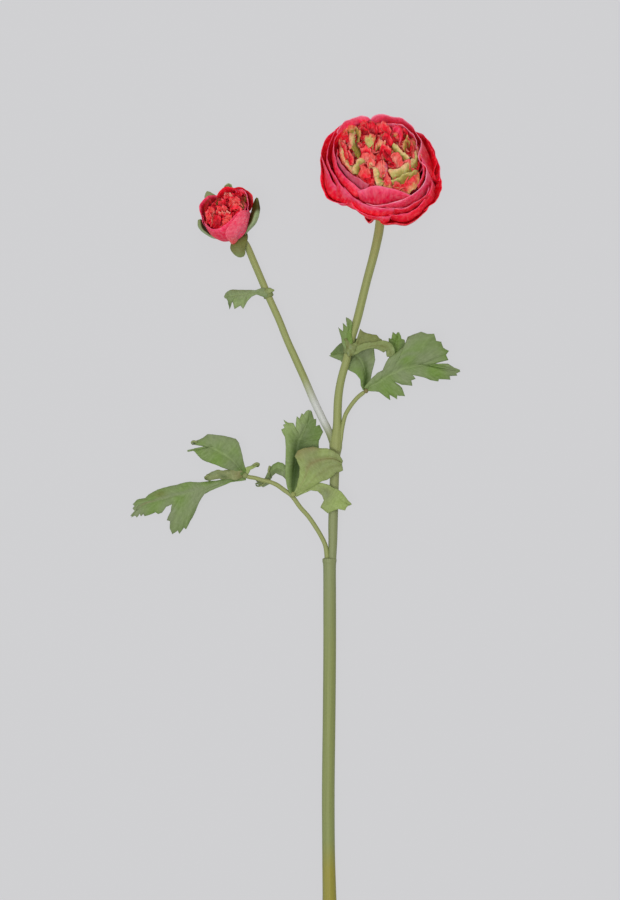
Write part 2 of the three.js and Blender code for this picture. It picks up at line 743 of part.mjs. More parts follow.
function bloomPetalsGeometry() {
  const petals = bloomPetals().map((petal) => bladeGeometry(petalGrid(petal, 5, 6), PETAL_THICKNESS));
  const receptacle = turnedGeometry([[0, -1.6], [5, -1.2], [6.6, 0.5], [6.6, 7.6], [5, 8.4], [0, 8.4]]);
  return fromSolid(fuse([receptacle, ...petals]));
}

// A flat-ended cup or core turned round the flower's axis from [radius, height] points
function turnedGeometry(outline, sides = 16) {
  const points = outline.map(([x, y]) => new THREE.Vector2(x, y));
  return new THREE.LatheGeometry(points, sides).rotateX(Math.PI / 2);
}

// Crumpled heart petals, standing in rings on a domed core and kept inside the bowl of petals round them
function heartGeometry({ core, dome, count, width, height, bowlRadius, seed }) {
  const random = randomFrom(seed);
  const blades = Array.from({ length: count }, (_, i) => {
    const polar = dome.reach * Math.sqrt((i + 0.4) / count);
    const turn = i * GOLDEN_ANGLE;
    const outward = new THREE.Vector3(
      Math.sin(polar) * Math.cos(turn),
      Math.sin(polar) * Math.sin(turn),
      Math.cos(polar),
    );
    const foot = new THREE.Vector3(dome.radius, dome.radius, dome.rise).multiply(outward);
    foot.z += dome.centre;
    const across = new THREE.Vector3(-Math.sin(turn), Math.cos(turn), 0)
      .applyAxisAngle(outward, mix(-0.7, 0.7, random()));
    const inward = across.clone().cross(outward).normalize();
    const phase = 6 * random();
    const grid = [0, 0.55, 1].map((s) =>
      [-1, -0.5, 0, 0.5, 1].map((t) => {
        const fold = 0.16 * width * s * Math.sin(1.5 * Math.PI * t + phase);
        const point = foot
          .clone()
          .addScaledVector(outward, mix(-2, height, s * (1 - 0.18 * t * t)))
          .addScaledVector(across, 0.5 * width * t * mix(0.5, 1, s))
          .addScaledVector(inward, fold - 0.25 * height * s * s);
        const most = bowlRadius(point.z);
        const reach = Math.hypot(point.x, point.y);
        const keep = reach > most ? most / reach : 1;
        return new THREE.Vector3(point.x * keep, point.y * keep, point.z);
      }),
    );
    return bladeGeometry(grid, PETAL_THICKNESS);
  });
  return fromSolid(fuse([core, ...blades]));
}

const BLOOM_HEART = {
  core: turnedGeometry([[0, 8.8], [8, 9], [15, 11.6], [19.5, 16], [21, 21], [18, 27], [11, 31], [0, 33]], 12),
  dome: { radius: 21, rise: 13, centre: 20, reach: 1.4 },
  count: 26,
  width: 11,
  height: 5.5,
  bowlRadius: (z) => 25 - 0.075 * Math.max(0, 22.5 - z) ** 2,
  seed: 11,
};
const BUD_HEART = {
  core: new THREE.SphereGeometry(1, 10, 7).scale(10, 10, 8.8).translate(0, 0, 13),
  dome: { radius: 10, rise: 8.8, centre: 13, reach: 1.15 },
  count: 11,
  width: 7,
  height: 3.5,
  bowlRadius: (z) => 12.1 - 0.06 * Math.max(0, 14 - z) ** 2,
  seed: 5,
};

function budProfile(layer) {
  return [
    [3.5, mix(3.6, 0, layer)],
    [mix(11.5, 14, layer), mix(4.2, -0.8, layer)],
    [mix(16, 19.3, layer), mix(13, 8.5, layer)],
    [mix(13, 15.8, layer), mix(25, 20.5, layer)],
  ];
}

const BUD_PETALS = 8;
const BUD_SPREAD = THREE.MathUtils.degToRad(60);

function budPetalsGeometry() {
  const random = randomFrom(3);
  const petals = Array.from({ length: BUD_PETALS }, (_, i) => {
    const layer = i / (BUD_PETALS - 1);
    const petal = {
      azimuth: i * GOLDEN_ANGLE,
      spread: BUD_SPREAD * mix(0.9, 1.05, random()),
      profile: (t) => budProfile(layer + 0.03 * t),
      ruffle: 0.2,
      phase: 6 * random(),
    };
    return bladeGeometry(petalGrid(petal, 5, 6), PETAL_THICKNESS);
  });
  const receptacle = turnedGeometry([[0, -1.2], [4, -0.9], [4.8, 0.4], [4.4, 3.4], [0, 3.7]], 10);
  return fromSolid(fuse([receptacle, ...petals]));
}

// Sepals, ovate, from the cup behind a flower
function sepalWidth(s) {
  return 0.35 + 0.65 * Math.sin(Math.PI * Math.min(1, 0.15 + 0.85 * s));
}

// A stalk's route as it runs in a flower's own frame
function routeInFrame(route, frame) {
  frame.updateMatrixWorld();
  return route.map(({ point, radius }) => ({ point: frame.worldToLocal(point.clone()), radius }));
}

function calyxGeometry(cup, sepals, stalk) {
  const blades = sepals.map(({ azimuth, spread, profile }) => {
    const sepal = {
      azimuth: THREE.MathUtils.degToRad(azimuth),
      spread: THREE.MathUtils.degToRad(spread),
      profile: () => profile,
      width: sepalWidth,
    };
    return bladeGeometry(petalGrid(sepal, 5, 4), LEAF_THICKNESS);
  });
  const clear = fuse([cup, ...blades]).subtract(stalkRoom(stalk));
  return fromSolid(largestBody(clear));
}

const BLOOM_CUP = [[0, -BLOOM_CUP_DEPTH], [3.4, -BLOOM_CUP_DEPTH], [4.4, -4], [5.6, -2.4], [0, -2]];
const BLOOM_SEPAL = [[3, -3], [9, -2.8], [13, -2.4], [17, -1.6]];
const BLOOM_SEPALS = [0, 1, 2, 3, 4].map((k) => ({ azimuth: 18 + 72 * k, spread: 26, profile: BLOOM_SEPAL }));

const BUD_CUP = [[0, -BUD_CUP_DEPTH], [2.8, -BUD_CUP_DEPTH], [3.6, -3.4], [4.6, -2], [0, -1.6]];
const BUD_HUGGING = [[2.5, -2.8], [15.8, -2.9], [21.2, 8], [17.4, 19]];
const BUD_LONG = [[2.5, -2.8], [15.8, -2.9], [21.2, 9], [17, 26]];
const BUD_STANDING_OFF = [[2.5, -2.6], [14, -3.4], [22, 3], [21, 17]];
const BUD_REFLEXED = [[2.5, -2.8], [8.5, -3], [10, -9], [8.5, -18]];
const BUD_SEPALS = [
  { azimuth: 105, spread: 24, profile: BUD_LONG },
  { azimuth: 150, spread: 26, profile: BUD_LONG },
  { azimuth: 225, spread: 30, profile: BUD_HUGGING },
  { azimuth: 5, spread: 26, profile: BUD_STANDING_OFF },
  { azimuth: 275, spread: 40, profile: BUD_REFLEXED },
];

// Colours of the moulded stalks, cloth leaves and petals
const STALK_GREEN = 0x8a9a5c;
const LOWER_STALK_GREEN = 0x82905f;
const LEAF_GREEN = 0x6f8f4c;
const BRACT_GREEN = 0x8b9a5c;
const PETAL_RED = 0xc8102a;
const HEART_CORAL = 0xd9594a;
const BUD_RED = 0xc22430;

const group = new THREE.Group();
group.add(bloomFrame, budFrame);

function add(parent, name, geometry, color, roughness = 0.7) {
  const material = new THREE.MeshStandardMaterial({ color, roughness, metalness: 0 });
  const mesh = new THREE.Mesh(geometry, material);
  mesh.name = name;
  parent.add(mesh);
}

add(group, 'lower_stem', stalkGeometry(LOWER_ROUTE), LOWER_STALK_GREEN);
add(group, 'main_stem', mainStemGeometry(), STALK_GREEN);
add(group, 'bud_branch', stalkGeometry(BUD_BRANCH_ROUTE), STALK_GREEN);
add(group, 'left_petiole', stalkGeometry(LEFT_PETIOLE_ROUTE), STALK_GREEN);
add(group, 'right_petiole', stalkGeometry(RIGHT_PETIOLE_ROUTE), STALK_GREEN);
add(
  group,
  'left_tip_leaf',
  leafGeometry(
    [TIP_LEAF_UPPER, TIP_LEAF_EDGE_ON, TIP_LEAF_LOWER, TIP_LEAF_CURL],
    TIP_LEAF_ROOT,
    2,
    [LEFT_PETIOLE_ROUTE],
  ),
  LEAF_GREEN,
);
add(
  group,
  'left_inner_leaf',
  leafGeometry(
    [INNER_LEAF_TALL, INNER_LEAF_FRONT, INNER_LEAF_LOW, INNER_LEAF_HOOK],
    INNER_LEAF_ROOT,
    1.8,
    [LEFT_PETIOLE_ROUTE, MAIN_ROUTE],
  ),
  LEAF_GREEN,
);
add(
  group,
  'right_leaf',
  leafGeometry(
    [RIGHT_LEAF_MAIN, RIGHT_LEAF_BACK, RIGHT_LEAF_BEHIND],
    RIGHT_LEAF_ROOT,
    1.8,
    [RIGHT_PETIOLE_ROUTE, MAIN_ROUTE],
  ),
  LEAF_GREEN,
);
add(
  group,
  'stem_bract',
  bractGeometry(
    [STEM_BRACT_TEETH, STEM_BRACT_UPPER, STEM_BRACT_LOWER],
    stalkGeometry(STEM_COLLAR),
    MAIN_ROUTE,
  ),
  BRACT_GREEN,
);
add(
  group,
  'bud_bract',
  bractGeometry([BUD_BRACT_BLADE, BUD_BRACT_TIP], stalkGeometry(BUD_COLLAR), BUD_BRANCH_ROUTE),
  BRACT_GREEN,
);
add(
  bloomFrame,
  'bloom_calyx',
  calyxGeometry(turnedGeometry(BLOOM_CUP, 12), BLOOM_SEPALS, routeInFrame(MAIN_ROUTE, bloomFrame)),
  BRACT_GREEN,
);
add(bloomFrame, 'bloom_petals', bloomPetalsGeometry(), PETAL_RED);
add(bloomFrame, 'bloom_heart', heartGeometry(BLOOM_HEART), HEART_CORAL);
add(
  budFrame,
  'bud_calyx',
  calyxGeometry(turnedGeometry(BUD_CUP, 12), BUD_SEPALS, routeInFrame(BUD_BRANCH_ROUTE, budFrame)),
  BRACT_GREEN,
);
add(budFrame, 'bud_petals', budPetalsGeometry(), PETAL_RED);
add(budFrame, 'bud_heart', heartGeometry(BUD_HEART), BUD_RED);

// The origin goes under the middle of the spray, on the table
const bounds = new THREE.Box3().setFromObject(group, true);
const middle = bounds.getCenter(new THREE.Vector3());
group.position.set(-middle.x, -middle.y, -bounds.min.z);

export default group;
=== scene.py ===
"""A Persian buttercup spray lying on a table, dressed round its solids.

Sizes are in millimetres until a mesh is made. Pixels are those of the photograph, 620 x 900.
"""
import math
import random

import bpy
import numpy as np
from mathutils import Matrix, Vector, noise


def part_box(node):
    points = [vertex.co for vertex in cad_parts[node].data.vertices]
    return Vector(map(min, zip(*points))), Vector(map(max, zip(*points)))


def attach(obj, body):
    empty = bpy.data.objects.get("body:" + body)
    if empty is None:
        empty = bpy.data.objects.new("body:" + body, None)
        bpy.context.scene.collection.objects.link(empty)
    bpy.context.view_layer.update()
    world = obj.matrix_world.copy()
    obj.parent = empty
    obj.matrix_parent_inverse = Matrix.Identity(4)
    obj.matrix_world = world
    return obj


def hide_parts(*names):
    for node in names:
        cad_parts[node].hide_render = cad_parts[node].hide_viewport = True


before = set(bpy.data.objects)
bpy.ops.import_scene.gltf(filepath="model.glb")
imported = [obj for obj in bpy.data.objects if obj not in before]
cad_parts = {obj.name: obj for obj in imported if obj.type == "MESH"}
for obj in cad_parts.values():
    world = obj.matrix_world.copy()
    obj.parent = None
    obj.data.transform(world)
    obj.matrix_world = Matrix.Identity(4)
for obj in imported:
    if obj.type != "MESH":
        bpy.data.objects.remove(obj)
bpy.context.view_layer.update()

# The photograph and the solids
MM_PER_PIXEL = 75 / 121  # the bloom is 75 mm across and 121 pixels wide
VIEW_HEIGHT = 1570  # of the eye above the table
MIDDLE_HEIGHT = 20  # where a pixel is that wide
PHOTO_CENTRE = (310, 450)
PHOTO_HEIGHT = 900
SOLID_STALK_SIDES = 10
SOLID_SLEEVE_TOP = 555.5  # the pixel row where the solid's sleeve ends
MM_PER_METRE = 1000
METRES_PER_MM = 1 / MM_PER_METRE

# Sheets of cloth
LEAF_THICKNESS = 0.5
PETAL_THICKNESS = 0.35
REST = 1.0  # height below which cloth is pressed against the table
PRESSED = 0.25  # share of that height left under the lowest cloth
GRAIN_STRIDE = 37.0  # sets the weave of one sheet apart from the next one's
NOISE_STEPS = [Vector((0, 0, 0)), Vector((9.3, -1.6, -7.9)), Vector((-6.1, 7.4, 3.2))]  # one per axis
GOLDEN_ANGLE = math.pi * (3 - math.sqrt(5))  # between petals that are packed evenly

# Leaves
ACROSS = 9  # columns from midrib to edge
ROWS_PER_STATION = 3
VEINS = 7  # side veins along a blade
VEIN_SLANT = 0.15
VEIN_RELIEF = 0.14
LEAF_ARCH = 0.08
CREASE_DEPTH = 0.35  # of the fold along the midrib
CREASE_WIDTH = 0.9
RUFFLES = 3.3  # waves along an edge

# Stalks
STALK_RIBS = 5
RIB_RELIEF = 0.012  # of the radius
CAP_SIZE = 0.8  # of the radius, inside a cut end's bevel
CAP_RISE = 0.12
CAP_MIDDLE_RISE = 0.1

# Routes of the stalks as (pixel x, pixel y, height, radius)
LOWER_ROUTE = [
    (329.5, 908, 4.7, 4.6),
    (329.3, 893, 4.6, 4.3),
    (328.5, 850, 4.8, 4.0),
    (328.2, 790, 5.1, 4.0),
    (329, 720, 5.6, 4.0),
    (329.6, 650, 6.1, 4.0),
    (329.6, 600, 6.5, 4.0),
    (329.5, 568, 6.8, 4.0),
    (329.4, 561.5, 6.9, 4.4),
    (329.4, 558.8, 6.9, 4.4),
]
MAIN_ROUTE = [
    (332, 561, 6.9, 2.6),
    (332.3, 555, 6.9, 2.6),
    (332.8, 540, 7.1, 2.8),
    (333, 520, 7.4, 3.0),
    (334.3, 480, 7.9, 2.9),
    (335, 458, 8.1, 3.1),
    (335.6, 447, 8.2, 4.0),
    (336, 438, 8.3, 3.7),
    (337.2, 426, 8.4, 2.8),
    (338, 400, 8.5, 2.6),
    (341, 380, 8.6, 2.5),
    (346.5, 360, 8.6, 2.5),
    (351, 340, 8.6, 2.5),
    (357, 320, 8.5, 2.6),
    (362, 300, 8.3, 2.6),
    (367, 280, 8.1, 2.6),
    (372.4, 260, 7.9, 2.7),
    (376.3, 244, 7.6, 2.8),
    (379.3, 228, 7.1, 2.9),
    (380.8, 210, 6.0, 2.8),
    (381.2, 197, 4.6, 2.6),
]
BUD_BRANCH_ROUTE = [
    (335, 452, 8.2, 1.8),
    (332, 441, 8.5, 2.1),
    (328.6, 431, 8.8, 2.3),
    (322, 418, 8.9, 2.4),
    (313.5, 400, 9.0, 2.4),
    (305, 380, 9.0, 2.3),
    (296, 360, 8.9, 2.3),
    (287, 340, 8.7, 2.2),
    (279, 320, 8.4, 2.2),
    (270, 300, 8.0, 2.2),
    (261.5, 280, 7.5, 2.2),
    (253, 260, 6.8, 2.2),
    (247.5, 247, 5.6, 2.1),
]
LEFT_PETIOLE_ROUTE = [
    (327.2, 561, 6.9, 1.7),
    (326.8, 554, 7.1, 1.6),
    (325.2, 545, 7.6, 1.45),
    (321, 536, 8.2, 1.4),
    (315, 526, 8.6, 1.4),
    (308, 516, 8.9, 1.4),
    (300, 507, 9.1, 1.4),
    (292, 496, 9.2, 1.4),
    (284, 490, 9.2, 1.4),
    (277, 485, 9.1, 1.4),
    (270, 482, 9.0, 1.3),
    (262, 480, 8.9, 1.3),
    (255, 478, 8.8, 1.3),
    (249, 477, 8.8, 1.3),
    (245.5, 475.6, 9.0, 1.2),
]
RIGHT_PETIOLE_ROUTE = [
    (339.4, 448, 8.9, 1.0),
    (341, 440, 9.2, 1.1),
    (341.6, 432, 9.5, 1.3),
    (343, 424, 9.8, 1.3),
    (345, 416, 9.9, 1.3),
    (348, 410, 9.9, 1.3),
    (352, 404, 9.8, 1.3),
    (357, 398, 9.6, 1.3),
    (361, 394.5, 9.4, 1.3),
    (364, 392.3, 9.2, 1.2),
]

# Leaf blades: the slopes at root and tip by which the left and the right half rise from the midrib, then
# stations from root to tip, each (left edge x, y, midrib x, y, midrib height, right edge x, y)
RIGHT_LEAF_MAIN = ((0.35, -0.12), (0.1, -0.16), [
    (364, 387.5, 366, 389, 9.4, 367, 390.5),
    (371, 379, 372, 385.5, 9.8, 379, 391.5),
    (377, 373, 375, 384, 10.2, 390, 400),
    (383, 370, 378, 382, 10.5, 389.5, 394.5),
    (386, 363, 380, 380.5, 10.8, 397, 399),
    (388, 359, 382, 379.5, 11.0, 397, 395),
    (394, 354.5, 383.5, 378.5, 11.3, 405, 396),
    (400, 350, 385, 377.5, 11.6, 402, 387.5),
    (408, 343, 388, 376, 12.0, 393, 381),
    (408, 337, 391, 374.5, 12.3, 402, 384.5),
    (415, 334, 394, 373, 12.5, 412, 385.5),
    (421, 332, 397, 371.5, 12.7, 411, 380),
    (427, 334, 400, 370, 12.8, 415.5, 378.5),
    (434, 334, 404, 368.7, 12.9, 412.5, 375),
    (436, 341, 407, 367.5, 12.9, 424, 377.5),
    (441, 342, 410, 366.5, 12.8, 431, 380),
    (443, 348, 413, 365.8, 12.6, 438, 381.5),
    (449, 351, 416, 365.2, 12.4, 438.5, 379),
    (446, 355, 418, 364.8, 12.2, 450, 379.5),
    (448, 360, 420, 364.5, 12.0, 449.5, 376),
    (432, 363.5, 428, 366, 11.4, 457, 375.5),
    (448, 364, 438, 368, 10.6, 456, 373.5),
    (454, 367.5, 449, 369.8, 9.6, 459, 372),
    (460, 370, 459.5, 370.8, 8.8, 460.3, 371.8),
])
RIGHT_LEAF_BACK = ((0.2, -0.1), (0.2, 0.1), [
    (365.5, 389, 367, 389.5, 8.8, 368, 390),
    (376, 379.5, 377.5, 380, 8.2, 379, 381.5),
    (386, 368, 388, 368.5, 7.4, 391, 371),
    (390.5, 354.5, 394, 356, 6.6, 398, 359),
    (389, 346, 395, 347, 6.2, 405, 346),
    (389, 338, 396, 343.5, 6.0, 404, 340),
    (391.5, 339.5, 396.7, 341, 5.9, 401, 339),
    (393, 332.5, 397.2, 338.5, 5.8, 400.5, 335.5),
    (395.8, 335, 397.8, 336, 5.7, 399.8, 334.5),
    (397.8, 332.2, 398.3, 332.8, 5.6, 399, 332.6),
])
RIGHT_LEAF_BEHIND = ((0.5, 0), (0.5, 0), [
    (363, 390, 365, 390, 8.8, 367.5, 390),
    (361, 385, 365, 382, 7.4, 370, 380),
    (360.5, 379, 365, 374, 5.6, 372.5, 370),
    (356, 373.5, 364, 367, 4.6, 375, 360),
    (349.5, 370, 361, 360, 3.9, 374, 349),
    (344, 365.5, 356, 355, 3.5, 365, 340),
    (341, 360.5, 350, 353, 3.4, 352, 338),
    (334, 358, 341, 353, 3.4, 340, 344),
    (329, 355.5, 331, 355.5, 3.5, 330.5, 353.5),
])
INNER_LEAF_TALL = ((0.5, 0.05), (0.32, 0.02), [
    (291, 495, 293, 494.5, 10.8, 295, 494),
    (287.5, 488, 293, 486, 9.6, 299, 484),
    (285.5, 477, 293.5, 475, 8.2, 304, 474),
    (286, 462, 295, 461, 7.2, 310, 463),
    (286.5, 447, 296.5, 452, 6.9, 315.5, 454),
    (285, 437, 297.2, 446.5, 6.9, 318.5, 448),
    (281.5, 430, 297.6, 444, 7.0, 318.8, 442),
    (285, 428, 298, 442.5, 7.1, 319, 440.5),
    (283.5, 425, 298.3, 441.5, 7.2, 320, 439),
    (286, 424, 298.6, 440.7, 7.3, 321, 436.5),
    (284, 420, 298.9, 440, 7.4, 322, 434.5),
    (288, 422.5, 299.3, 439.3, 7.5, 323, 432.5),
    (293.5, 423.5, 299.8, 438.6, 7.6, 321.5, 429.5),
    (296, 430, 301, 436, 7.8, 319.5, 425),
    (296, 424, 303, 432, 8.2, 315.5, 426.3),
    (297, 416.5, 304.5, 429, 8.5, 316, 419),
    (300, 419, 305.5, 427, 8.7, 313.5, 419),
    (302, 413.5, 306.5, 425, 8.9, 312.8, 416),
    (304, 415, 307.5, 422.5, 9.1, 312, 413.5),
    (306, 411.5, 308.5, 419, 9.4, 311.3, 411.5),
    (309.2, 410.2, 309.8, 411.5, 10.0, 310.5, 410.5),
])
INNER_LEAF_FRONT = ((0.1, -0.12), (-0.2, -0.1), [
    (293, 493.5, 294.5, 495, 11.0, 296, 496),
    (297, 486, 300, 489, 12.6, 304, 491.5),
    (299.5, 476, 305, 483.5, 13.8, 311, 487.5),
    (299.5, 467, 309, 479, 14.6, 316, 484),
    (297, 460, 312, 475.5, 15.2, 319, 482.3),
    (295, 456.5, 314.5, 473, 15.6, 321, 481.3),
    (298, 450.5, 317, 470.8, 15.9, 324, 480.3),
    (305, 448, 319.5, 468.7, 16.1, 327, 479.5),
    (313, 446.8, 322, 467, 16.2, 330, 477.8),
    (320, 448.5, 325, 465.2, 16.2, 333, 475.5),
    (327, 448.7, 328, 463.8, 16.1, 336, 472),
    (333, 451, 331.5, 463, 15.9, 339.5, 471.5),
    (339, 455, 336, 463, 15.6, 343, 470),
    (342.5, 461, 341.5, 464, 15.2, 342, 466),
])
INNER_LEAF_LOW = ((-0.1, -0.1), (-0.3, -0.15), [
    (296, 493.5, 296, 495, 11.2, 296.5, 496.5),
    (304, 488.8, 304.5, 491, 12.0, 304, 493),
    (312, 485, 312, 487.8, 12.8, 311, 490.3),
    (320.5, 483, 319.5, 487, 13.4, 318, 491),
    (329, 485.3, 325.5, 489.5, 13.8, 322, 495),
    (333, 488, 329, 493, 14.0, 324, 500),
    (337, 489.3, 331.5, 496.5, 14.1, 320.5, 507),
    (341, 492, 335, 500, 14.0, 328, 513),
    (345, 496.5, 340, 502, 13.8, 338, 508.7),
    (348.5, 501, 344, 504, 13.5, 345, 510),
    (351.5, 504, 350.5, 504.9, 13.0, 346.8, 505.8),
])
INNER_LEAF_HOOK = ((-0.2, -0.5), (-0.1, -0.2), [
    (290, 482, 290.5, 486, 9.8, 291.5, 489),
    (287, 467, 286.5, 473.5, 9.6, 286, 479.5),
    (283, 463.3, 282.5, 469.5, 9.4, 282, 475.8),
    (278, 462, 277, 467.5, 8.8, 276, 473),
    (273, 464.5, 272.8, 470, 7.8, 272.5, 476),
    (269, 470, 269.7, 475, 6.5, 270.5, 480.5),
    (264.5, 479, 266.5, 481.5, 5.4, 269, 484),
    (255.5, 483.5, 260, 485, 4.6, 263, 487),
])
TIP_LEAF_UPPER = ((0.1, -0.25), (0.1, 0.05), [
    (246, 470, 244, 473.5, 9.4, 241, 475.5),
    (244, 465, 240, 468.5, 10.0, 234, 471.5),
    (242.3, 459, 236, 464, 10.4, 228, 469.5),
    (240.8, 450, 232, 460.5, 10.8, 224, 468),
    (239, 443, 227.5, 457, 11.0, 219, 466),
    (236, 439, 223.5, 454.3, 11.1, 214.5, 464.3),
    (230, 437.3, 220, 452, 11.1, 210, 462.7),
    (223, 436, 217.5, 450.3, 11.0, 206, 461),
    (215, 435, 215.5, 449, 10.9, 203, 459.5),
    (207.5, 434.5, 213.8, 448, 10.8, 201, 458.2),
    (203, 438, 212.3, 447.2, 10.7, 199.7, 457),
    (192.5, 442.3, 211, 446.6, 10.6, 198.5, 455.8),
    (194, 444.4, 210, 446.7, 10.5, 197.5, 454.7),
    (205, 446.4, 207.5, 447.4, 10.3, 196.3, 453.3),
    (199, 447.4, 200.5, 449, 9.8, 194.5, 451.3),
    (193, 449.2, 193.2, 450, 9.2, 192.5, 450.9),
    (187.5, 450.5, 187.2, 451, 8.8, 187.3, 451.7),
])
TIP_LEAF_EDGE_ON = ((-0.5, -1.1), (-0.3, -0.5), [
    (244, 471, 244, 474, 9.6, 244, 477),
    (235, 470, 235.5, 474.5, 11.5, 236, 479.5),
    (226, 470, 227, 474.7, 12.4, 228, 479.5),
    (218, 470.7, 219.5, 474.8, 12.6, 221, 479),
    (212, 472, 213, 475, 12.2, 215, 478.3),
    (206, 474.5, 208, 477, 11.4, 209.5, 480.5),
    (204, 477, 205, 477.8, 10.8, 206, 478.3),
])
TIP_LEAF_LOWER = ((-0.3, -0.35), (-0.1, -0.12), [
    (244, 476, 245, 478, 8.8, 245.5, 480),
    (230, 478.5, 231, 480.5, 9.0, 231, 482),
    (216, 480.7, 219, 484, 9.0, 213, 489.5),
    (205, 482, 210, 487, 8.8, 204, 494),
    (200, 482.3, 206, 488.5, 8.6, 199, 502),
    (196, 482.2, 203, 489.3, 8.5, 195.5, 510),
    (193, 482, 200, 490, 8.3, 192, 517),
    (190, 481.8, 197, 490.8, 8.2, 186, 529),
    (187, 482, 195, 491.2, 8.1, 184, 527.3),
    (184, 482.7, 193, 491.7, 8.0, 179.5, 533.5),
    (181, 483.5, 191, 492.2, 7.9, 178, 530.5),
    (178.5, 484.2, 189, 492.7, 7.8, 172.5, 534),
    (176, 484.9, 187, 493.2, 7.7, 170, 529),
    (173.5, 485.5, 185, 493.7, 7.6, 170.3, 521),
    (171, 486, 183, 494.2, 7.5, 167, 520),
    (168.5, 486.7, 181, 494.6, 7.4, 171, 511),
    (166, 487.4, 176, 495.6, 7.2, 172, 504),
    (163, 488.2, 171, 496.8, 6.9, 166, 506.5),
    (158, 489.5, 167, 497.8, 6.6, 162, 512.3),
    (153, 492, 163, 498.8, 6.3, 158, 513.6),
    (149, 494.5, 159.5, 499.7, 6.1, 155.5, 511.8),
    (145.5, 497.8, 156, 500.7, 5.9, 150, 514.5),
    (141, 499, 152.5, 501.7, 5.6, 144.5, 516),
    (137, 500, 149, 502.7, 5.4, 143, 513.6),
    (133, 504, 145.5, 503.8, 5.2, 141, 516),
    (135, 505.7, 142.5, 505.2, 5.0, 139.7, 513.3),
    (133, 508.3, 140, 507, 4.8, 137, 517.3),
    (135, 510.5, 137.5, 510, 4.5, 135.3, 515),
    (131, 515.5, 132.5, 515, 4.0, 131.7, 516.7),
])
TIP_LEAF_CURL = ((-0.2, -0.4), (-0.2, -0.4), [
    (244, 468.5, 245.5, 472, 9.4, 247.5, 475),
    (249.5, 466.3, 250, 467.5, 9.6, 250.5, 469),
    (255, 463.7, 255.5, 465, 9.4, 256, 466.7),
    (258, 463.4, 258.5, 464.3, 9.0, 259, 465.5),
])
STEM_BRACT_TEETH = ((-0.25, -0.3), (0, 0), [
    (349, 353, 351, 352, 11.8, 354, 350),
    (345, 349.5, 349, 347, 11.9, 352.5, 344),
    (342.5, 344, 347.5, 342.5, 11.9, 352, 339),
    (341, 338, 347, 340, 11.8, 351.5, 336.5),
    (338.5, 327.5, 347, 337.5, 11.7, 351.3, 334),
    (343.3, 331.5, 347, 335.5, 11.7, 351.5, 331),
    (343, 323, 347.3, 333, 11.6, 351.7, 328.5),
    (347.3, 326.8, 348.3, 330, 11.6, 352, 325.5),
    (346.7, 320, 349, 325.5, 11.6, 351.7, 321.5),
    (346.8, 317.3, 347.6, 318.5, 11.6, 348.4, 318),
])
STEM_BRACT_UPPER = ((0.1, -0.4), (-0.2, -0.4), [
    (352, 347, 354, 349, 11.8, 355, 351.5),
    (356.5, 341, 358, 344, 12.2, 359, 347),
    (360, 328.7, 361.3, 337, 12.0, 362, 344.8),
    (363.7, 332.5, 365, 338.5, 11.7, 366, 344),
    (370, 333.8, 370.5, 338.8, 11.4, 371, 343.3),
    (376, 335.5, 376.5, 339, 11.0, 377, 342),
    (381.8, 339.3, 382, 340.2, 10.6, 382, 341),
])
STEM_BRACT_LOWER = ((-0.2, -0.5), (-0.1, -0.3), [
    (352, 349, 352, 352.5, 11.8, 351.5, 356),
    (357, 345.5, 357, 349.5, 12.4, 357, 353.5),
    (364, 343, 363.5, 346.5, 12.9, 363, 350),
    (372, 342, 371, 345.5, 13.3, 370, 348.5),
    (380, 341, 379, 344.8, 13.6, 377, 348.5),
    (388, 341.5, 386, 346, 13.8, 383.5, 352.3),
    (392, 344.5, 389, 348.5, 13.8, 386, 350.5),
    (394, 350, 391, 352.5, 13.6, 387.5, 356.5),
    (394.7, 356.2, 393.5, 356, 13.2, 392.5, 357),
])
BUD_BRACT_BLADE = ((-0.3, -0.5), (-0.2, -0.3), [
    (268, 288.5, 267.5, 293, 11.0, 267, 297.5),
    (262, 288.3, 261.5, 292, 11.2, 260.5, 295.7),
    (256, 290.3, 256, 292.2, 11.4, 256, 294.2),
    (251, 290.2, 251.5, 292.6, 11.6, 251.5, 296.5),
    (247, 290, 248.5, 293, 11.7, 247, 301.5),
    (243, 290, 246, 293.3, 11.8, 243, 308.5),
    (240, 290, 243.5, 293.8, 11.8, 240.5, 305),
    (237.5, 289.8, 240.5, 294.3, 11.8, 234.5, 308.5),
    (235, 289.6, 237, 295, 11.7, 233, 301.5),
    (232.5, 289.5, 234.5, 295.5, 11.6, 231.5, 303),
    (230, 290.3, 232.5, 295.7, 11.4, 229.5, 309),
    (228, 291.5, 230, 296, 11.2, 228.3, 301),
    (226, 293.5, 227.5, 296.3, 10.9, 226.5, 298.3),
    (224.3, 296.5, 224.8, 297.2, 10.6, 224.8, 298.1),
])
BUD_BRACT_TIP = ((-0.2, -0.3), (-0.2, -0.3), [
    (266, 288.5, 266.5, 291, 11.0, 267, 293.5),
    (270.5, 288.2, 270.5, 290, 11.2, 270.5, 292.3),
    (274, 289.8, 274.3, 290.5, 10.8, 274, 291.2),
])

# Colours as sRGB, 0 to 255
STALK = (143, 150, 90)
STALK_TIP = (161, 166, 98)
STALK_LOW = (131, 139, 93)
STALK_MOSS = (131, 139, 81)
STALK_FOOT = (143, 136, 52)
STALK_WHITISH = (192, 194, 188)
LEAF_TOP = (108, 136, 62)
LEAF_GREY = (124, 137, 98)
LEAF_UNDER = (146, 164, 96)
LEAF_UNDER_OLIVE = (132, 142, 90)
# dark green for patches of painted shade on leaves, also for the dark ends of curled tips
LEAF_DEEP = (50, 72, 22)
LEAF_PALE = (146, 166, 106)
LEAF_BROWN = (126, 116, 74)
LEAF_DULL = (128, 134, 94)
BRACT = (122, 134, 82)
BRACT_OLIVE = (112, 116, 66)
SEPAL = (144, 162, 117)
SEPAL_OLIVE = (106, 110, 52)
# dark olive of painted shade on the bud's sepals
SEPAL_SHADE = (62, 58, 14)
CRIMSON = (226, 17, 41)
DEEP_RED = (165, 6, 26)
DARK_RED = (122, 8, 20)
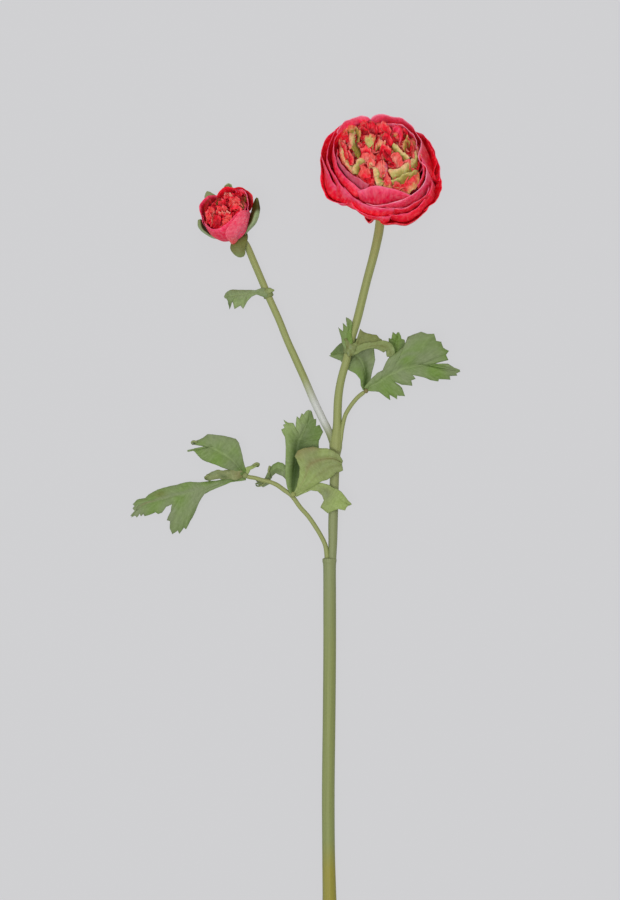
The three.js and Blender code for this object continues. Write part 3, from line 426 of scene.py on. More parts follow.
RED = (250, 34, 57)
HOT_PINK = (252, 76, 112)
ROSE = (232, 54, 82)
BUD_PINK = (255, 94, 118)
PINK = (242, 104, 136)
DUSKY_PINK = (210, 88, 112)
PALE_PINK = (250, 138, 162)
CORAL_BRIGHT = (250, 98, 94)
CORAL = (240, 92, 86)
CORAL_PALE = (240, 136, 120)
GOLD = (230, 162, 104)
PEACH = (236, 182, 132)
LIME = (200, 186, 112)
OLIVE = (152, 134, 56)
DARK_OLIVE = (104, 78, 18)
BROWN_RED = (150, 40, 28)


def mix(a, b, t):
    return a + (b - a) * t


def linear(colour):
    value = np.asarray(colour, float) / 255
    return np.where(value <= 0.04045, value / 12.92, ((value + 0.055) / 1.055) ** 2.4)


def gradient(place, stops):
    """Colours at places from 0 to 1, between stops of (place, colour)."""
    knots = [stop[0] for stop in stops]
    colours = np.array([linear(stop[1]) for stop in stops])
    return np.stack([np.interp(place, knots, colours[:, k]) for k in range(3)], axis=-1)


def smooth(points, count):
    """A Catmull-Rom curve through points, at count even steps."""
    points = np.asarray(points, float)
    padded = np.vstack([2 * points[0] - points[1], points, 2 * points[-1] - points[-2]])
    place = np.linspace(0, len(points) - 1, count)
    k = np.minimum(place.astype(int), len(points) - 2)
    t = (place - k)[:, None]
    a, b, c, d = (padded[k + i] for i in range(4))
    return 0.5 * (2 * b + (c - a) * t + (2 * a - 5 * b + 4 * c - d) * t**2
                  + (3 * b - a - 3 * c + d) * t**3)


def wobble(points, size, amount, seed):
    """Moves a grid of points by smooth noise of a given feature size, in millimetres."""
    moved = points.copy()
    flat = moved.reshape(-1, 3)
    offset = Vector((seed * 7.3, seed * 3.1, seed * 5.7))
    for i, point in enumerate(flat):
        place = Vector(point / size) + offset
        flat[i] = point + amount * np.array([noise.noise(place + step) for step in NOISE_STEPS])
    return moved


def clouds(grid, size, start=(0, 0, 0)):
    """Smooth noise, about -1 to 1, over a grid of points, with features of a given size."""
    start = Vector(start)
    return np.array([[noise.noise(Vector(point / size) + start) for point in line] for line in grid])


def places_along(rows, columns):
    """How far each point of a grid lies along it, 0 to 1."""
    return np.repeat(np.linspace(0, 1, rows)[:, None], columns, axis=1)


def patch(rows, across=18, along=18):
    """A smooth grid through rows of points."""
    lines = np.array([smooth(row, across) for row in rows])
    return np.stack([smooth(lines[:, c], along) for c in range(across)], axis=1)


def seen_at(px, py, z):
    """Where pixels lie in space, at heights above the table."""
    px, py, z = np.broadcast_arrays(*(np.asarray(value, float) for value in (px, py, z)))
    reach = MM_PER_PIXEL * (VIEW_HEIGHT - z) / (VIEW_HEIGHT - MIDDLE_HEIGHT)
    return np.stack([(px - PHOTO_CENTRE[0]) * reach, (PHOTO_CENTRE[1] - py) * reach, z], axis=-1)


def part_shift():
    """From the modelling frame to the part's frame, read at the lower stem's highest corner."""
    foot, top = LOWER_ROUTE[0], LOWER_ROUTE[-1]
    highest_side = math.sin(2 * math.tau / SOLID_STALK_SIDES)
    sleeve_top = seen_at(top[0], SOLID_SLEEVE_TOP, top[2])[1]
    corner = [seen_at(*foot[:3])[0] + foot[3], sleeve_top, top[2] + top[3] * highest_side]
    return np.array(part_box("lower_stem")[1]) * MM_PER_METRE - corner


SHIFT = part_shift()


# Meshes: a surface is (points, faces, dye, grain), and grain is the distance across and along a sheet
def grid_faces(rows, columns, first=0, flip=False, closed=False):
    faces = []
    for r in range(rows - 1):
        for c in range(columns if closed else columns - 1):
            d = (c + 1) % columns
            quad = [first + r * columns + c, first + (r + 1) * columns + c,
                    first + (r + 1) * columns + d, first + r * columns + d]
            faces.append(quad[::-1] if flip else quad)
    return faces


def unit(vectors):
    return vectors / np.maximum(np.linalg.norm(vectors, axis=-1, keepdims=True), 1e-9)


def blade(grid, thickness, front, back, rim=None, seed=0.0):
    """A thin sheet round a grid of middle points, with dyes for its two faces and a rounded rim."""
    rows, columns = grid.shape[:2]
    along = np.gradient(grid, axis=0)
    across = np.gradient(grid, axis=1)
    normal = unit(np.cross(along, across))
    ring = [(0, c) for c in range(columns - 1)]
    ring += [(r, columns - 1) for r in range(rows - 1)]
    ring += [(rows - 1, c) for c in range(columns - 1, 0, -1)]
    ring += [(r, 0) for r in range(rows - 1, 0, -1)]
    outward = np.zeros_like(grid)
    outward[0] -= unit(along)[0]
    outward[-1] += unit(along)[-1]
    outward[:, 0] -= unit(across)[:, 0]
    outward[:, -1] += unit(across)[:, -1]
    edge = np.array([grid[r, c] + 0.5 * thickness * unit(outward[r, c]) for r, c in ring])
    size = rows * columns
    points = np.vstack([(grid + 0.5 * thickness * normal).reshape(-1, 3),
                        (grid - 0.5 * thickness * normal).reshape(-1, 3), edge])
    faces = grid_faces(rows, columns) + grid_faces(rows, columns, size, flip=True)
    for i, (r, c) in enumerate(ring):
        j = (i + 1) % len(ring)
        a = r * columns + c
        b = ring[j][0] * columns + ring[j][1]
        faces.append([a, b, 2 * size + j, 2 * size + i])
        faces.append([2 * size + i, 2 * size + j, size + b, size + a])
    if rim is None:
        rim = 0.5 * (front + back)
    elif np.ndim(rim) == 1:
        rim = np.broadcast_to(linear(rim), front.shape)
    edge_dye = np.array([rim[r, c] for r, c in ring])
    dye = np.vstack([front.reshape(-1, 3), back.reshape(-1, 3), edge_dye])
    steps_across = np.linalg.norm(np.diff(grid, axis=1, prepend=grid[:, :1]), axis=-1).cumsum(axis=1)
    steps_along = np.linalg.norm(np.diff(grid, axis=0, prepend=grid[:1]), axis=-1).mean(axis=1).cumsum()
    distance = np.stack([steps_across - steps_across[:, columns // 2:columns // 2 + 1],
                         np.repeat(steps_along[:, None], columns, axis=1),
                         np.full((rows, columns), GRAIN_STRIDE * seed)], axis=-1)
    flat = distance.reshape(-1, 3)
    grain = np.vstack([flat, flat, np.array([distance[r, c] for r, c in ring])])
    return points, faces, dye, grain


def resting(points):
    """Cloth that would dip below the table is pressed flat on it."""
    low = points[:, 2] < REST
    points[low, 2] = REST * (PRESSED + (1 - PRESSED) * np.exp((points[low, 2] / REST - 1) / (1 - PRESSED)))
    return points


def piece(name, surfaces, nodes, material):
    """One object from surfaces, which takes the place of solids and rides on the part."""
    points, dye, grain, faces = [], [], [], []
    count = 0
    for surface_points, surface_faces, surface_dye, surface_grain in surfaces:
        points.append(surface_points)
        dye.append(surface_dye)
        grain.append(surface_grain)
        faces += [[count + i for i in face] for face in surface_faces]
        count += len(surface_points)
    mesh = bpy.data.meshes.new(name)
    mesh.from_pydata((resting(np.vstack(points) + SHIFT) * METRES_PER_MM).tolist(), [], faces)
    colours = np.hstack([np.clip(np.vstack(dye), 0, 1), np.ones((count, 1))])
    for attribute, kind, field, values in (("dye", "FLOAT_COLOR", "color", colours),
                                           ("grain", "FLOAT_VECTOR", "vector", np.vstack(grain))):
        mesh.attributes.new(attribute, kind, "POINT").data.foreach_set(field, values.ravel())
    mesh.polygons.foreach_set("use_smooth", [True] * len(mesh.polygons))
    mesh.materials.append(material)
    mesh.update()
    thing = bpy.data.objects.new(name, mesh)
    bpy.context.scene.collection.objects.link(thing)
    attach(thing, "root")
    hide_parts(*nodes)


# Materials
NOISE_LOW = 0.3  # most values of a noise texture lie between these two
NOISE_HIGH = 0.7


class Shader:
    """A material whose nodes are added one call at a time."""

    def __init__(self, name, **constants):
        self.material = bpy.data.materials.new(name)
        self.material.use_nodes = True
        self.nodes = self.material.node_tree.nodes
        self.links = self.material.node_tree.links
        self.surface = self.nodes["Principled BSDF"]
        for socket, value in constants.items():
            self.surface.inputs[socket.replace("_", " ")].default_value = value

    def add(self, kind, output=0, inputs=(), **settings):
        node = self.nodes.new("ShaderNode" + kind)
        for key, value in settings.items():
            setattr(node, key, value)
        for key, value in dict(inputs).items():
            self.put(node.inputs[key], value)
        return node.outputs[output]

    def put(self, socket, value):
        if isinstance(value, bpy.types.NodeSocket):
            self.links.new(value, socket)
        else:
            socket.default_value = value

    def attribute(self, name, output):
        return self.add("Attribute", output, attribute_name=name)

    def scaled(self, vector, factors):
        return self.add("VectorMath", 0, {0: vector, 1: factors}, operation="MULTIPLY")

    def noise(self, vector, scale, detail=3.0):
        return self.add("TexNoise", "Fac", {"Vector": vector, "Scale": scale, "Detail": detail})

    def between(self, value, low, high):
        return self.add("MapRange", 0, {"Value": value, "From Min": NOISE_LOW, "From Max": NOISE_HIGH,
                                        "To Min": low, "To Max": high})

    def math(self, operation, first, second):
        return self.add("Math", 0, {0: first, 1: second}, operation=operation)

    def bump(self, height, distance):
        normal = self.add("Bump", 0, {"Height": height, "Distance": distance, "Strength": 1.0})
        self.put(self.surface.inputs["Normal"], normal)


def cloth(name, streaks, stretch, relief, glow=0.0, roughness=0.62, specks=0.08):
    """Dyed cloth: streaks run along each blade, specks lie all over, light glows through thin cloth."""
    shader = Shader(name, Specular_IOR_Level=0.25, Subsurface_Weight=glow, Subsurface_Scale=0.002,
                    Subsurface_Radius=(1.0, 0.3, 0.35))
    grain = shader.attribute("grain", "Vector")
    fibres = shader.noise(shader.scaled(grain, stretch), 1.0, 4.0)
    mottle = shader.noise(grain, 0.45, 3.0)
    weave = shader.noise(grain, 5.0, 2.0)
    value = shader.math("MULTIPLY", shader.between(fibres, 1 - streaks, 1 + streaks),
                        shader.between(mottle, 1 - specks, 1 + specks))
    dye = shader.attribute("dye", "Color")
    colour = shader.add("HueSaturation", 0, {"Color": dye, "Value": value,
                                             "Saturation": shader.between(mottle, 1.06, 0.94)})
    shader.put(shader.surface.inputs["Base Color"], colour)
    shader.put(shader.surface.inputs["Roughness"],
               shader.between(weave, roughness - 0.08, roughness + 0.08))
    height = shader.math("ADD", fibres, shader.math("MULTIPLY", weave, 0.3))
    shader.bump(height, relief)
    return shader.material


def moulded(name):
    """Moulded stalk: matte, with faint ribs along it and small scuffs."""
    shader = Shader(name, Specular_IOR_Level=0.4)
    grain = shader.attribute("grain", "Vector")
    ribs = shader.noise(shader.scaled(grain, (0.9, 0.02, 1.0)), 1.0, 3.0)
    scuffs = shader.noise(grain, 0.7, 5.0)
    value = shader.math("MULTIPLY", shader.between(ribs, 0.93, 1.07), shader.between(scuffs, 0.95, 1.05))
    colour = shader.add("HueSaturation", 0, {"Color": shader.attribute("dye", "Color"), "Value": value})
    shader.put(shader.surface.inputs["Base Color"], colour)
    shader.put(shader.surface.inputs["Roughness"], shader.between(scuffs, 0.48, 0.62))
    shader.bump(ribs, 0.00025)
    return shader.material


PETAL_CLOTH = cloth("petal_cloth", 0.09, (1.3, 0.12, 1.0), 0.00012, glow=0.35, specks=0.04)
HEART_CLOTH = cloth("heart_cloth", 0.12, (1.1, 0.3, 1.0), 0.0002, glow=0.35, specks=0.12)
LEAF_CLOTH = cloth("leaf_cloth", 0.09, (0.25, 0.9, 1.0), 0.00014, roughness=0.6)
STALK_PLASTIC = moulded("stalk_plastic")


# Stalks
def tube(stops, dyes, sides=28, per_stop=5, painted_sheen=0.3):
    """A closed round stalk through stops of (x, y, z, radius); dyes are stops of (place, colour)."""
    rings = smooth(stops, (len(stops) - 1) * per_stop + 1)
    centres, radii = rings[:, :3], rings[:, 3]
    tangent = unit(np.gradient(centres, axis=0))
    side = unit(np.cross(tangent, [0, 0, 1]))
    top = np.cross(side, tangent)
    angle = np.linspace(0, 2 * math.pi, sides, endpoint=False)
    radius = radii[:, None] * (1 + RIB_RELIEF * np.cos(STALK_RIBS * angle)[None, :])
    skin = (centres[:, None] + (radius * np.cos(angle))[..., None] * side[:, None]
            + (radius * np.sin(angle))[..., None] * top[:, None])
    length = np.linalg.norm(np.diff(centres, axis=0, prepend=centres[:1]), axis=1).cumsum()
    place = length / length[-1]
    dye = np.repeat(gradient(place, dyes)[:, None], sides, axis=1)
    # painted sheen: the side of the stalk that faces left is painted a paler grey-green
    leftward = unit(skin - centres[:, None])[..., :1]
    dye = mix(dye, linear(LEAF_GREY) * 1.15, painted_sheen * np.clip(-leftward - 0.3, 0, 1))
    grain = np.stack([np.broadcast_to(radii.mean() * angle, skin.shape[:2]),
                      np.repeat(length[:, None], sides, axis=1), np.zeros(skin.shape[:2])], axis=-1)
    rows = len(centres)
    points = skin.reshape(-1, 3)
    faces = grid_faces(rows, sides, closed=True)
    dye, grain = dye.reshape(-1, 3), grain.reshape(-1, 3)
    for row, sign in ((0, -1), (rows - 1, 1)):
        first = row * sides
        middle = len(points)
        outward = sign * radii[row] * tangent[row]
        ring = centres[row] + CAP_SIZE * (skin[row] - centres[row]) + CAP_RISE * outward
        points = np.vstack([points, ring, centres[row] + CAP_MIDDLE_RISE * outward])
        dye = np.vstack([dye, np.repeat(dye[first:first + 1], sides + 1, axis=0)])
        grain = np.vstack([grain, grain[first:first + sides], grain[first:first + 1]])
        for k in range(sides):
            d = (k + 1) % sides
            quad = [first + k, first + d, middle + d, middle + k]
            cap = [middle + k, middle + d, middle + sides]
            faces += [quad, cap] if sign < 0 else [quad[::-1], cap[::-1]]
    return points, faces, dye, grain


def stops_of(route):
    return [[*seen_at(px, py, z), radius] for px, py, z, radius in route]


# Leaves
def vein_phase(s, u):
    """Phase of the wave whose crests are a blade's side veins, s along it and u out from its midrib."""
    return 2 * math.pi * (s * VEINS + VEIN_SLANT * u)


def leaf_grid(table, ruffle, seed, folds):
    """Middle points of a leaf blade: folded at the midrib, arched, ribbed along its side veins."""
    stations = np.array(table[2], float)
    rows = (len(stations) - 1) * ROWS_PER_STATION + 1
    place = np.linspace(0, len(stations) - 1, rows)
    knots = np.arange(len(stations))
    edges = [np.stack([np.interp(place, knots, stations[:, c]) for c in pair], axis=-1)
             for pair in ((0, 1), (5, 6))]
    middle = smooth(stations[:, 2:5], rows)
    s = place / place[-1]
    grid = np.zeros((rows, 2 * ACROSS + 1, 3))
    for c in range(2 * ACROSS + 1):
        u = abs(c - ACROSS) / ACROSS
        half = 0 if c < ACROSS else 1
        reach = edges[half] - middle[:, :2]
        distance = np.hypot(*reach.T) * MM_PER_PIXEL
        slope = mix(*table[half], s)
        rise = slope * distance * u + LEAF_ARCH * distance * 4 * u * (1 - u)
        ribs = VEIN_RELIEF * np.cos(vein_phase(s, u)) * math.sin(math.pi * u) ** 0.7
        crease = -CREASE_DEPTH * np.exp(-(u * distance / CREASE_WIDTH) ** 2)
        start = 0 if half else 1.3
        wave = ruffle * u**2 * np.sin(2 * math.pi * (s * RUFFLES + 0.37 * seed) + start)
        for across, width, depth in folds:
            offset = ((c - ACROSS) / ACROSS - across) / width
            rise = rise + depth * np.sin(0.5 * math.pi * s) * math.exp(-offset**2)
        xy = middle[:, :2] + u * reach
        grid[:, c] = seen_at(xy[:, 0], xy[:, 1], middle[:, 2] + rise + ribs + crease + wave)
    return wobble(grid, 9.0, 0.25, seed)


def stained_and_shaded(dye, s, u, stains_and_shade):
    """Soft patches of another colour, real stains and, in dark green, painted shade: (place along, place
    across, length, width, colour, strength).
    """
    for along, across, length, width, colour, strength in stains_and_shade:
        weight = strength * np.exp(-((s - along) / length) ** 2 - ((u - across) / width) ** 2)
        dye = mix(dye, linear(colour), weight[..., None])
    return dye


def leaf_blade(table, seed, facing="top", ruffle=0.35, rough=0.25, tint=None, stains_and_shade=(), folds=()):
    """A leaf blade; facing says which side is turned up, and folds are (place across, width, depth)."""
    grid = wobble(leaf_grid(table, ruffle, seed, folds), 3.0, rough, seed + 50)
    rows, columns = grid.shape[:2]
    s = np.linspace(0, 1, rows)[:, None]
    u = np.linspace(-1, 1, columns)[None, :]
    cloud = np.clip(0.5 + 0.9 * clouds(grid, 11.0, (seed * 9.0, 0, 0)), 0, 1)[..., None]
    top = mix(linear(LEAF_TOP), linear(LEAF_GREY), cloud)
    under = mix(linear(LEAF_UNDER), linear(LEAF_UNDER_OLIVE), cloud)
    if tint is not None:
        top, under = mix(top, linear(tint), 0.7), mix(under, linear(tint), 0.7)
    side_veins = np.clip(np.cos(vein_phase(s, np.abs(u))), 0, 1) ** 3 * np.sin(math.pi * np.abs(u))
    pale = (0.4 * np.exp(-(u / 0.06) ** 2) + 0.16 * side_veins)[..., None]
    top, under = mix(top, linear(LEAF_PALE), pale), mix(under, linear(LEAF_PALE), 0.6 * pale)
    top, under = stained_and_shaded(top, s, u, stains_and_shade), stained_and_shaded(under, s, u, stains_and_shade)
    normal = np.cross(np.gradient(grid, axis=0), np.gradient(grid, axis=1))
    up, down = (top, under) if facing == "top" else (under, top)
    front, back = (up, down) if normal[..., 2].sum() > 0 else (down, up)
    return blade(grid, LEAF_THICKNESS, front, back, 0.75 * mix(front, back, 0.5), seed)


def ball(centre, radius, colour, sides=12):
    """A small round knuckle where blades meet."""
    turn = np.linspace(-0.5 * math.pi, 0.5 * math.pi, sides // 2 + 1)
    stops = [[0, math.sin(a) * radius, 0, max(math.cos(a) * radius, 0.02)] for a in turn]
    points, faces, dye, grain = tube(stops, [(0, colour), (1, colour)], sides, 1)
    return points + centre, faces, dye, grain


# Flowers
DOME_STEPS = 14  # in the search for the point of a dome under a pixel
BODY_SLICES = 120


class Flower:
    """A flower's own frame, +Z out of its face, with its heart's dome and its petals' curve."""

    def __init__(self, pixel, height, axis, dome, petal_stops, curve):
        self.origin = seen_at(*pixel, height)
        self.turn = np.array(Vector((0, 0, 1)).rotation_difference(Vector(axis).normalized()).to_matrix())
        self.reach, self.rise, self.edge, self.power, self.tilt = dome
        self.petal_stops = petal_stops
        self.curve = curve

    def out(self, local):
        return local @ self.turn.T + self.origin

    def seen(self, px, py, height):
        """The point on a pixel's line of sight at a height in the flower's frame, in that frame."""
        eye = np.array([0, 0, VIEW_HEIGHT])
        start = (eye - self.origin) @ self.turn
        sight = (seen_at(px, py, 0) - eye) @ self.turn
        return start + sight * (height - start[2]) / sight[2]

    def dome_height(self, place):
        """Height of the dome over a place. A power of 2 makes it round, a higher one flatter."""
        reach = min(1.0, math.hypot(place[0], place[1]) / self.reach)
        return self.edge + self.rise * math.sqrt(1 - reach**self.power) + self.tilt * place[1]

    def on_dome(self, px, py, extra):
        """The point of the dome under a pixel, with an extra height, in the flower's frame."""
        point = self.seen(px, py, self.edge + self.rise)
        for _ in range(DOME_STEPS):
            point = self.seen(px, py, 0.5 * (point[2] + self.dome_height(point) + extra))
        return point

    def on_body(self, px, py, outline, extra):
        """The point under a pixel on a body turned from (radius, height) stops, in the flower's frame."""
        heights = np.linspace(outline[0][1], outline[-1][1], BODY_SLICES)
        radii = np.interp(heights, [h for _, h in outline], [r for r, _ in outline]) + extra
        points = np.array([self.seen(px, py, h) for h in heights])
        gap = np.hypot(points[:, 0], points[:, 1]) - radii
        inside = np.nonzero(gap <= 0)[0]
        return points[inside[-1]] if len(inside) else points[gap.argmin()]


BLOOM_FRONT = math.radians(277)  # azimuth of the bloom's side that faces the camera
BLOOM_BODY = [(26, 0), (31, 4), (34.5, 8), (36.8, 12), (36.8, 16), (35, 20), (32.3, 24), (29.7, 27),
              (26.3, 30), (22.5, 33)]  # radius and height
BLOOM_GAP = 1.2  # between one petal's outer face and the next petal's rim
BUD_FULL = math.radians(190)  # azimuth of the bud's fuller side


def bezier(points, t):
    """A cubic Bezier curve at places from 0 to 1 along it."""
    a, b, c, d = points
    s = 1 - t
    return s**3 * a + 3 * s * s * t * b + 3 * s * t * t * c + t**3 * d


def through(points, t):
    """A smooth curve through stops, at places from 0 to 1 along it."""
    points = np.array([np.broadcast_to(p, t.shape) for p in points], float)
    last = len(points) - 1
    place = np.clip(t, 0, 1) * last
    start = np.minimum(place.astype(int), last - 1)
    f = place - start
    a, b, c, d = (points[np.clip(start + k, 0, last), np.arange(len(t))] for k in (-1, 0, 1, 2))
    return b + 0.5 * f * (c - a + f * (2 * a - 5 * b + 4 * c - d + f * (3 * (b - c) + d - a)))


def bloom_stops(layer, azimuths, radius, height, beyond=None):
    """Radius and height stops of a bloom petal, at a layer from 0, round the heart, to 1, outermost.

    Beyond is the radius and height of the next rim outside it, which its outer face runs down to.
    """
    outside, below = beyond or (radius - 2, height - 5)
    front = np.clip(0.8 + 0.8 * np.cos(azimuths - BLOOM_FRONT), 0, 1)
    front = front * front * (3 - 2 * front)
    foot = mix(8.2, -1, layer)
    end = np.linspace(-1, 1, len(azimuths)) ** 6
    near = mix(radius - 1, mix(radius, outside - BLOOM_GAP, 0.75), front) - 2 * end
    level = mix(height - 5, below - 0.8, front)
    middle = mix(foot, level, 0.45)
    body = np.interp(middle, [h for _, h in BLOOM_BODY], [r for r, _ in BLOOM_BODY]) - 3 * (1 - layer)
    wall = mix(mix(27, radius - 3, layer), np.minimum(near - 2, body), front)
    return (5, 18, wall, near, radius - end), (mix(7.8, 0, layer), foot, middle, level, height - end)


def bud_stops(layer, azimuths, radius, height):
    """Radius and height stops of a bud petal, at a layer from 0, innermost, to 1."""
    full = np.cos(azimuths - BUD_FULL)
    full = 1 + np.where(full < 0, 0.2, 0.13) * full
    return ((3.5, mix(10.5, 11.4, layer) * full, mix(14.5, 16.2, layer) * full, radius),
            (mix(3.6, 0, layer), mix(4.2, 0, layer), mix(13, 8.5, layer), height))


def cupped(flower, stops, azimuths, rows, round_off, ruffle, seed):
    """Middle points of a petal, up its flower's curve through stops of radii and heights."""
    centre = 0.5 * (azimuths.min() + azimuths.max())
    columns = len(azimuths)
    t = np.linspace(-1, 1, columns)
    grid = np.zeros((rows, columns, 3))
    for r in range(rows):
        s = r / (rows - 1)
        along = s * (1 - round_off * np.abs(t) ** 3)
        turn = centre + (azimuths - centre) * mix(0.4, 1, math.sqrt(s))
        swing = np.sin(2.7 * math.pi * t + seed) + 0.6 * np.sin(6.1 * math.pi * t + 2 * seed)
        wave = ruffle * s * s * swing
        radius, height = (flower.curve(values, along) for values in stops)
        radius = radius + wave
        grid[r] = np.stack([radius * np.cos(turn), radius * np.sin(turn), height + 0.4 * wave], axis=-1)
    return flower.out(wobble(grid, 7.0, 0.55, seed))


# Dyes of petals: root, middle and rim; a darker root is partly painted shade, a paler rim partly a painted
# highlight
RED_INSIDE = (CRIMSON, CRIMSON, RED)
# inner faces painted dark red with shade
SHADED_INSIDE = (DARK_RED, DEEP_RED, CRIMSON)
RED_OUTSIDE = (CRIMSON, RED, HOT_PINK)
HOT_OUTSIDE = (RED, HOT_PINK, PINK)
PINK_INSIDE = (CRIMSON, HOT_PINK, PINK)
ROSE_OUTSIDE = (CRIMSON, ROSE, HOT_PINK)
DEEP_OUTSIDE = (CRIMSON, CRIMSON, RED)
DUSKY_OUTSIDE = (RED, DUSKY_PINK, DUSKY_PINK)


def rim_course(flower, rim, body=(), extra=0.0, count=28):
    """Azimuths, radii and heights of a rim through pixels, each with a height or else on the body."""
    path = smooth(rim, count)
    if path.shape[1] == 2:
        heights = np.array([flower.on_body(*at, body, extra)[2] for at in path])
        path = np.column_stack([path, evened(heights)])
    points = np.array([flower.seen(*at) for at in path])
    azimuths = np.unwrap(np.arctan2(points[:, 1], points[:, 0]))
    order = 1 if azimuths[-1] > azimuths[0] else -1
    return azimuths[::order], np.hypot(points[:, 0], points[:, 1])[::order], points[::order, 2]


def evened(values):
    """Values with the jumps between neighbours softened."""
    for _ in range(3):
        padded = np.concatenate([values[:1], values, values[-1:]])
        values = 0.25 * padded[:-2] + 0.5 * padded[1:-1] + 0.25 * padded[2:]
    return values


def next_rim(course, outer_courses):
    """Radius and height of the nearest rim outside a course, all along it."""
    azimuths, radii, heights = course
    outside, below = radii - 3.6, heights - 5
    found = np.full(len(azimuths), np.inf)
    for other, other_radii, other_heights in outer_courses:
        for full_turn in (-2 * math.pi, 0, 2 * math.pi):
            place = azimuths + full_turn
            radius = np.interp(place, other, other_radii)
            nearer = (place > other[0]) & (place < other[-1]) & (radius > radii + 0.8) & (radius < found)
            found = np.where(nearer, radius, found)
            outside = np.where(nearer, radius, outside)
            below = np.where(nearer, np.minimum(np.interp(place, other, other_heights), heights - 1), below)
    return evened(outside), evened(below)


def petal_sheet(grid, dyes, seed):
    """A petal round a grid of middle points, with clouded dyes: inner face, outer face and edge."""
    inner, outer, edge = dyes
    s = np.clip(places_along(*grid.shape[:2]) + 0.05 * clouds(grid, 6.0, (seed * 5.0, 1, 0)), 0, 1)
    # each face runs from a darker root, partly painted shade deep in the flower, to a paler rim and edge,
    # partly a painted highlight
    front, back = [gradient(s, [(0.2, root), (0.6, middle), (0.86, middle), (0.95, rim), (1, edge)])
                   for root, middle, rim in (inner, outer)]
    return blade(grid, PETAL_THICKNESS, front, back, edge, seed)


def round_petal(flower, azimuth, spread, radius, height, layer, dyes, seed, ruffle=0.4):
    """A petal with a level rim, round an azimuth and as far as the spread to both sides, in degrees."""
    columns = 22
    azimuths = math.radians(azimuth) + math.radians(spread) * np.linspace(-1, 1, columns)
    rim = np.full(columns, float(radius)), np.full(columns, float(height))
    stops = flower.petal_stops(layer, azimuths, *rim)
    return petal_sheet(cupped(flower, stops, azimuths, 14, 0.2, ruffle, seed), dyes, seed)


# Foot's pixel and height, axis, dome (reach, rise, height of its edge, power, tilt), petal stops, curve
BLOOM = Flower((381.5, 182.4), 15.3, (-0.06, 0.5, 0.86), (26, 10.5, 21.5, 4, 0.1), bloom_stops, through)
BUD = Flower((238.5, 232.5), 10.2, (-0.42, 0.64, 0.643), (13.2, 5.5, 16.5, 5, 0.14), bud_stops, bezier)

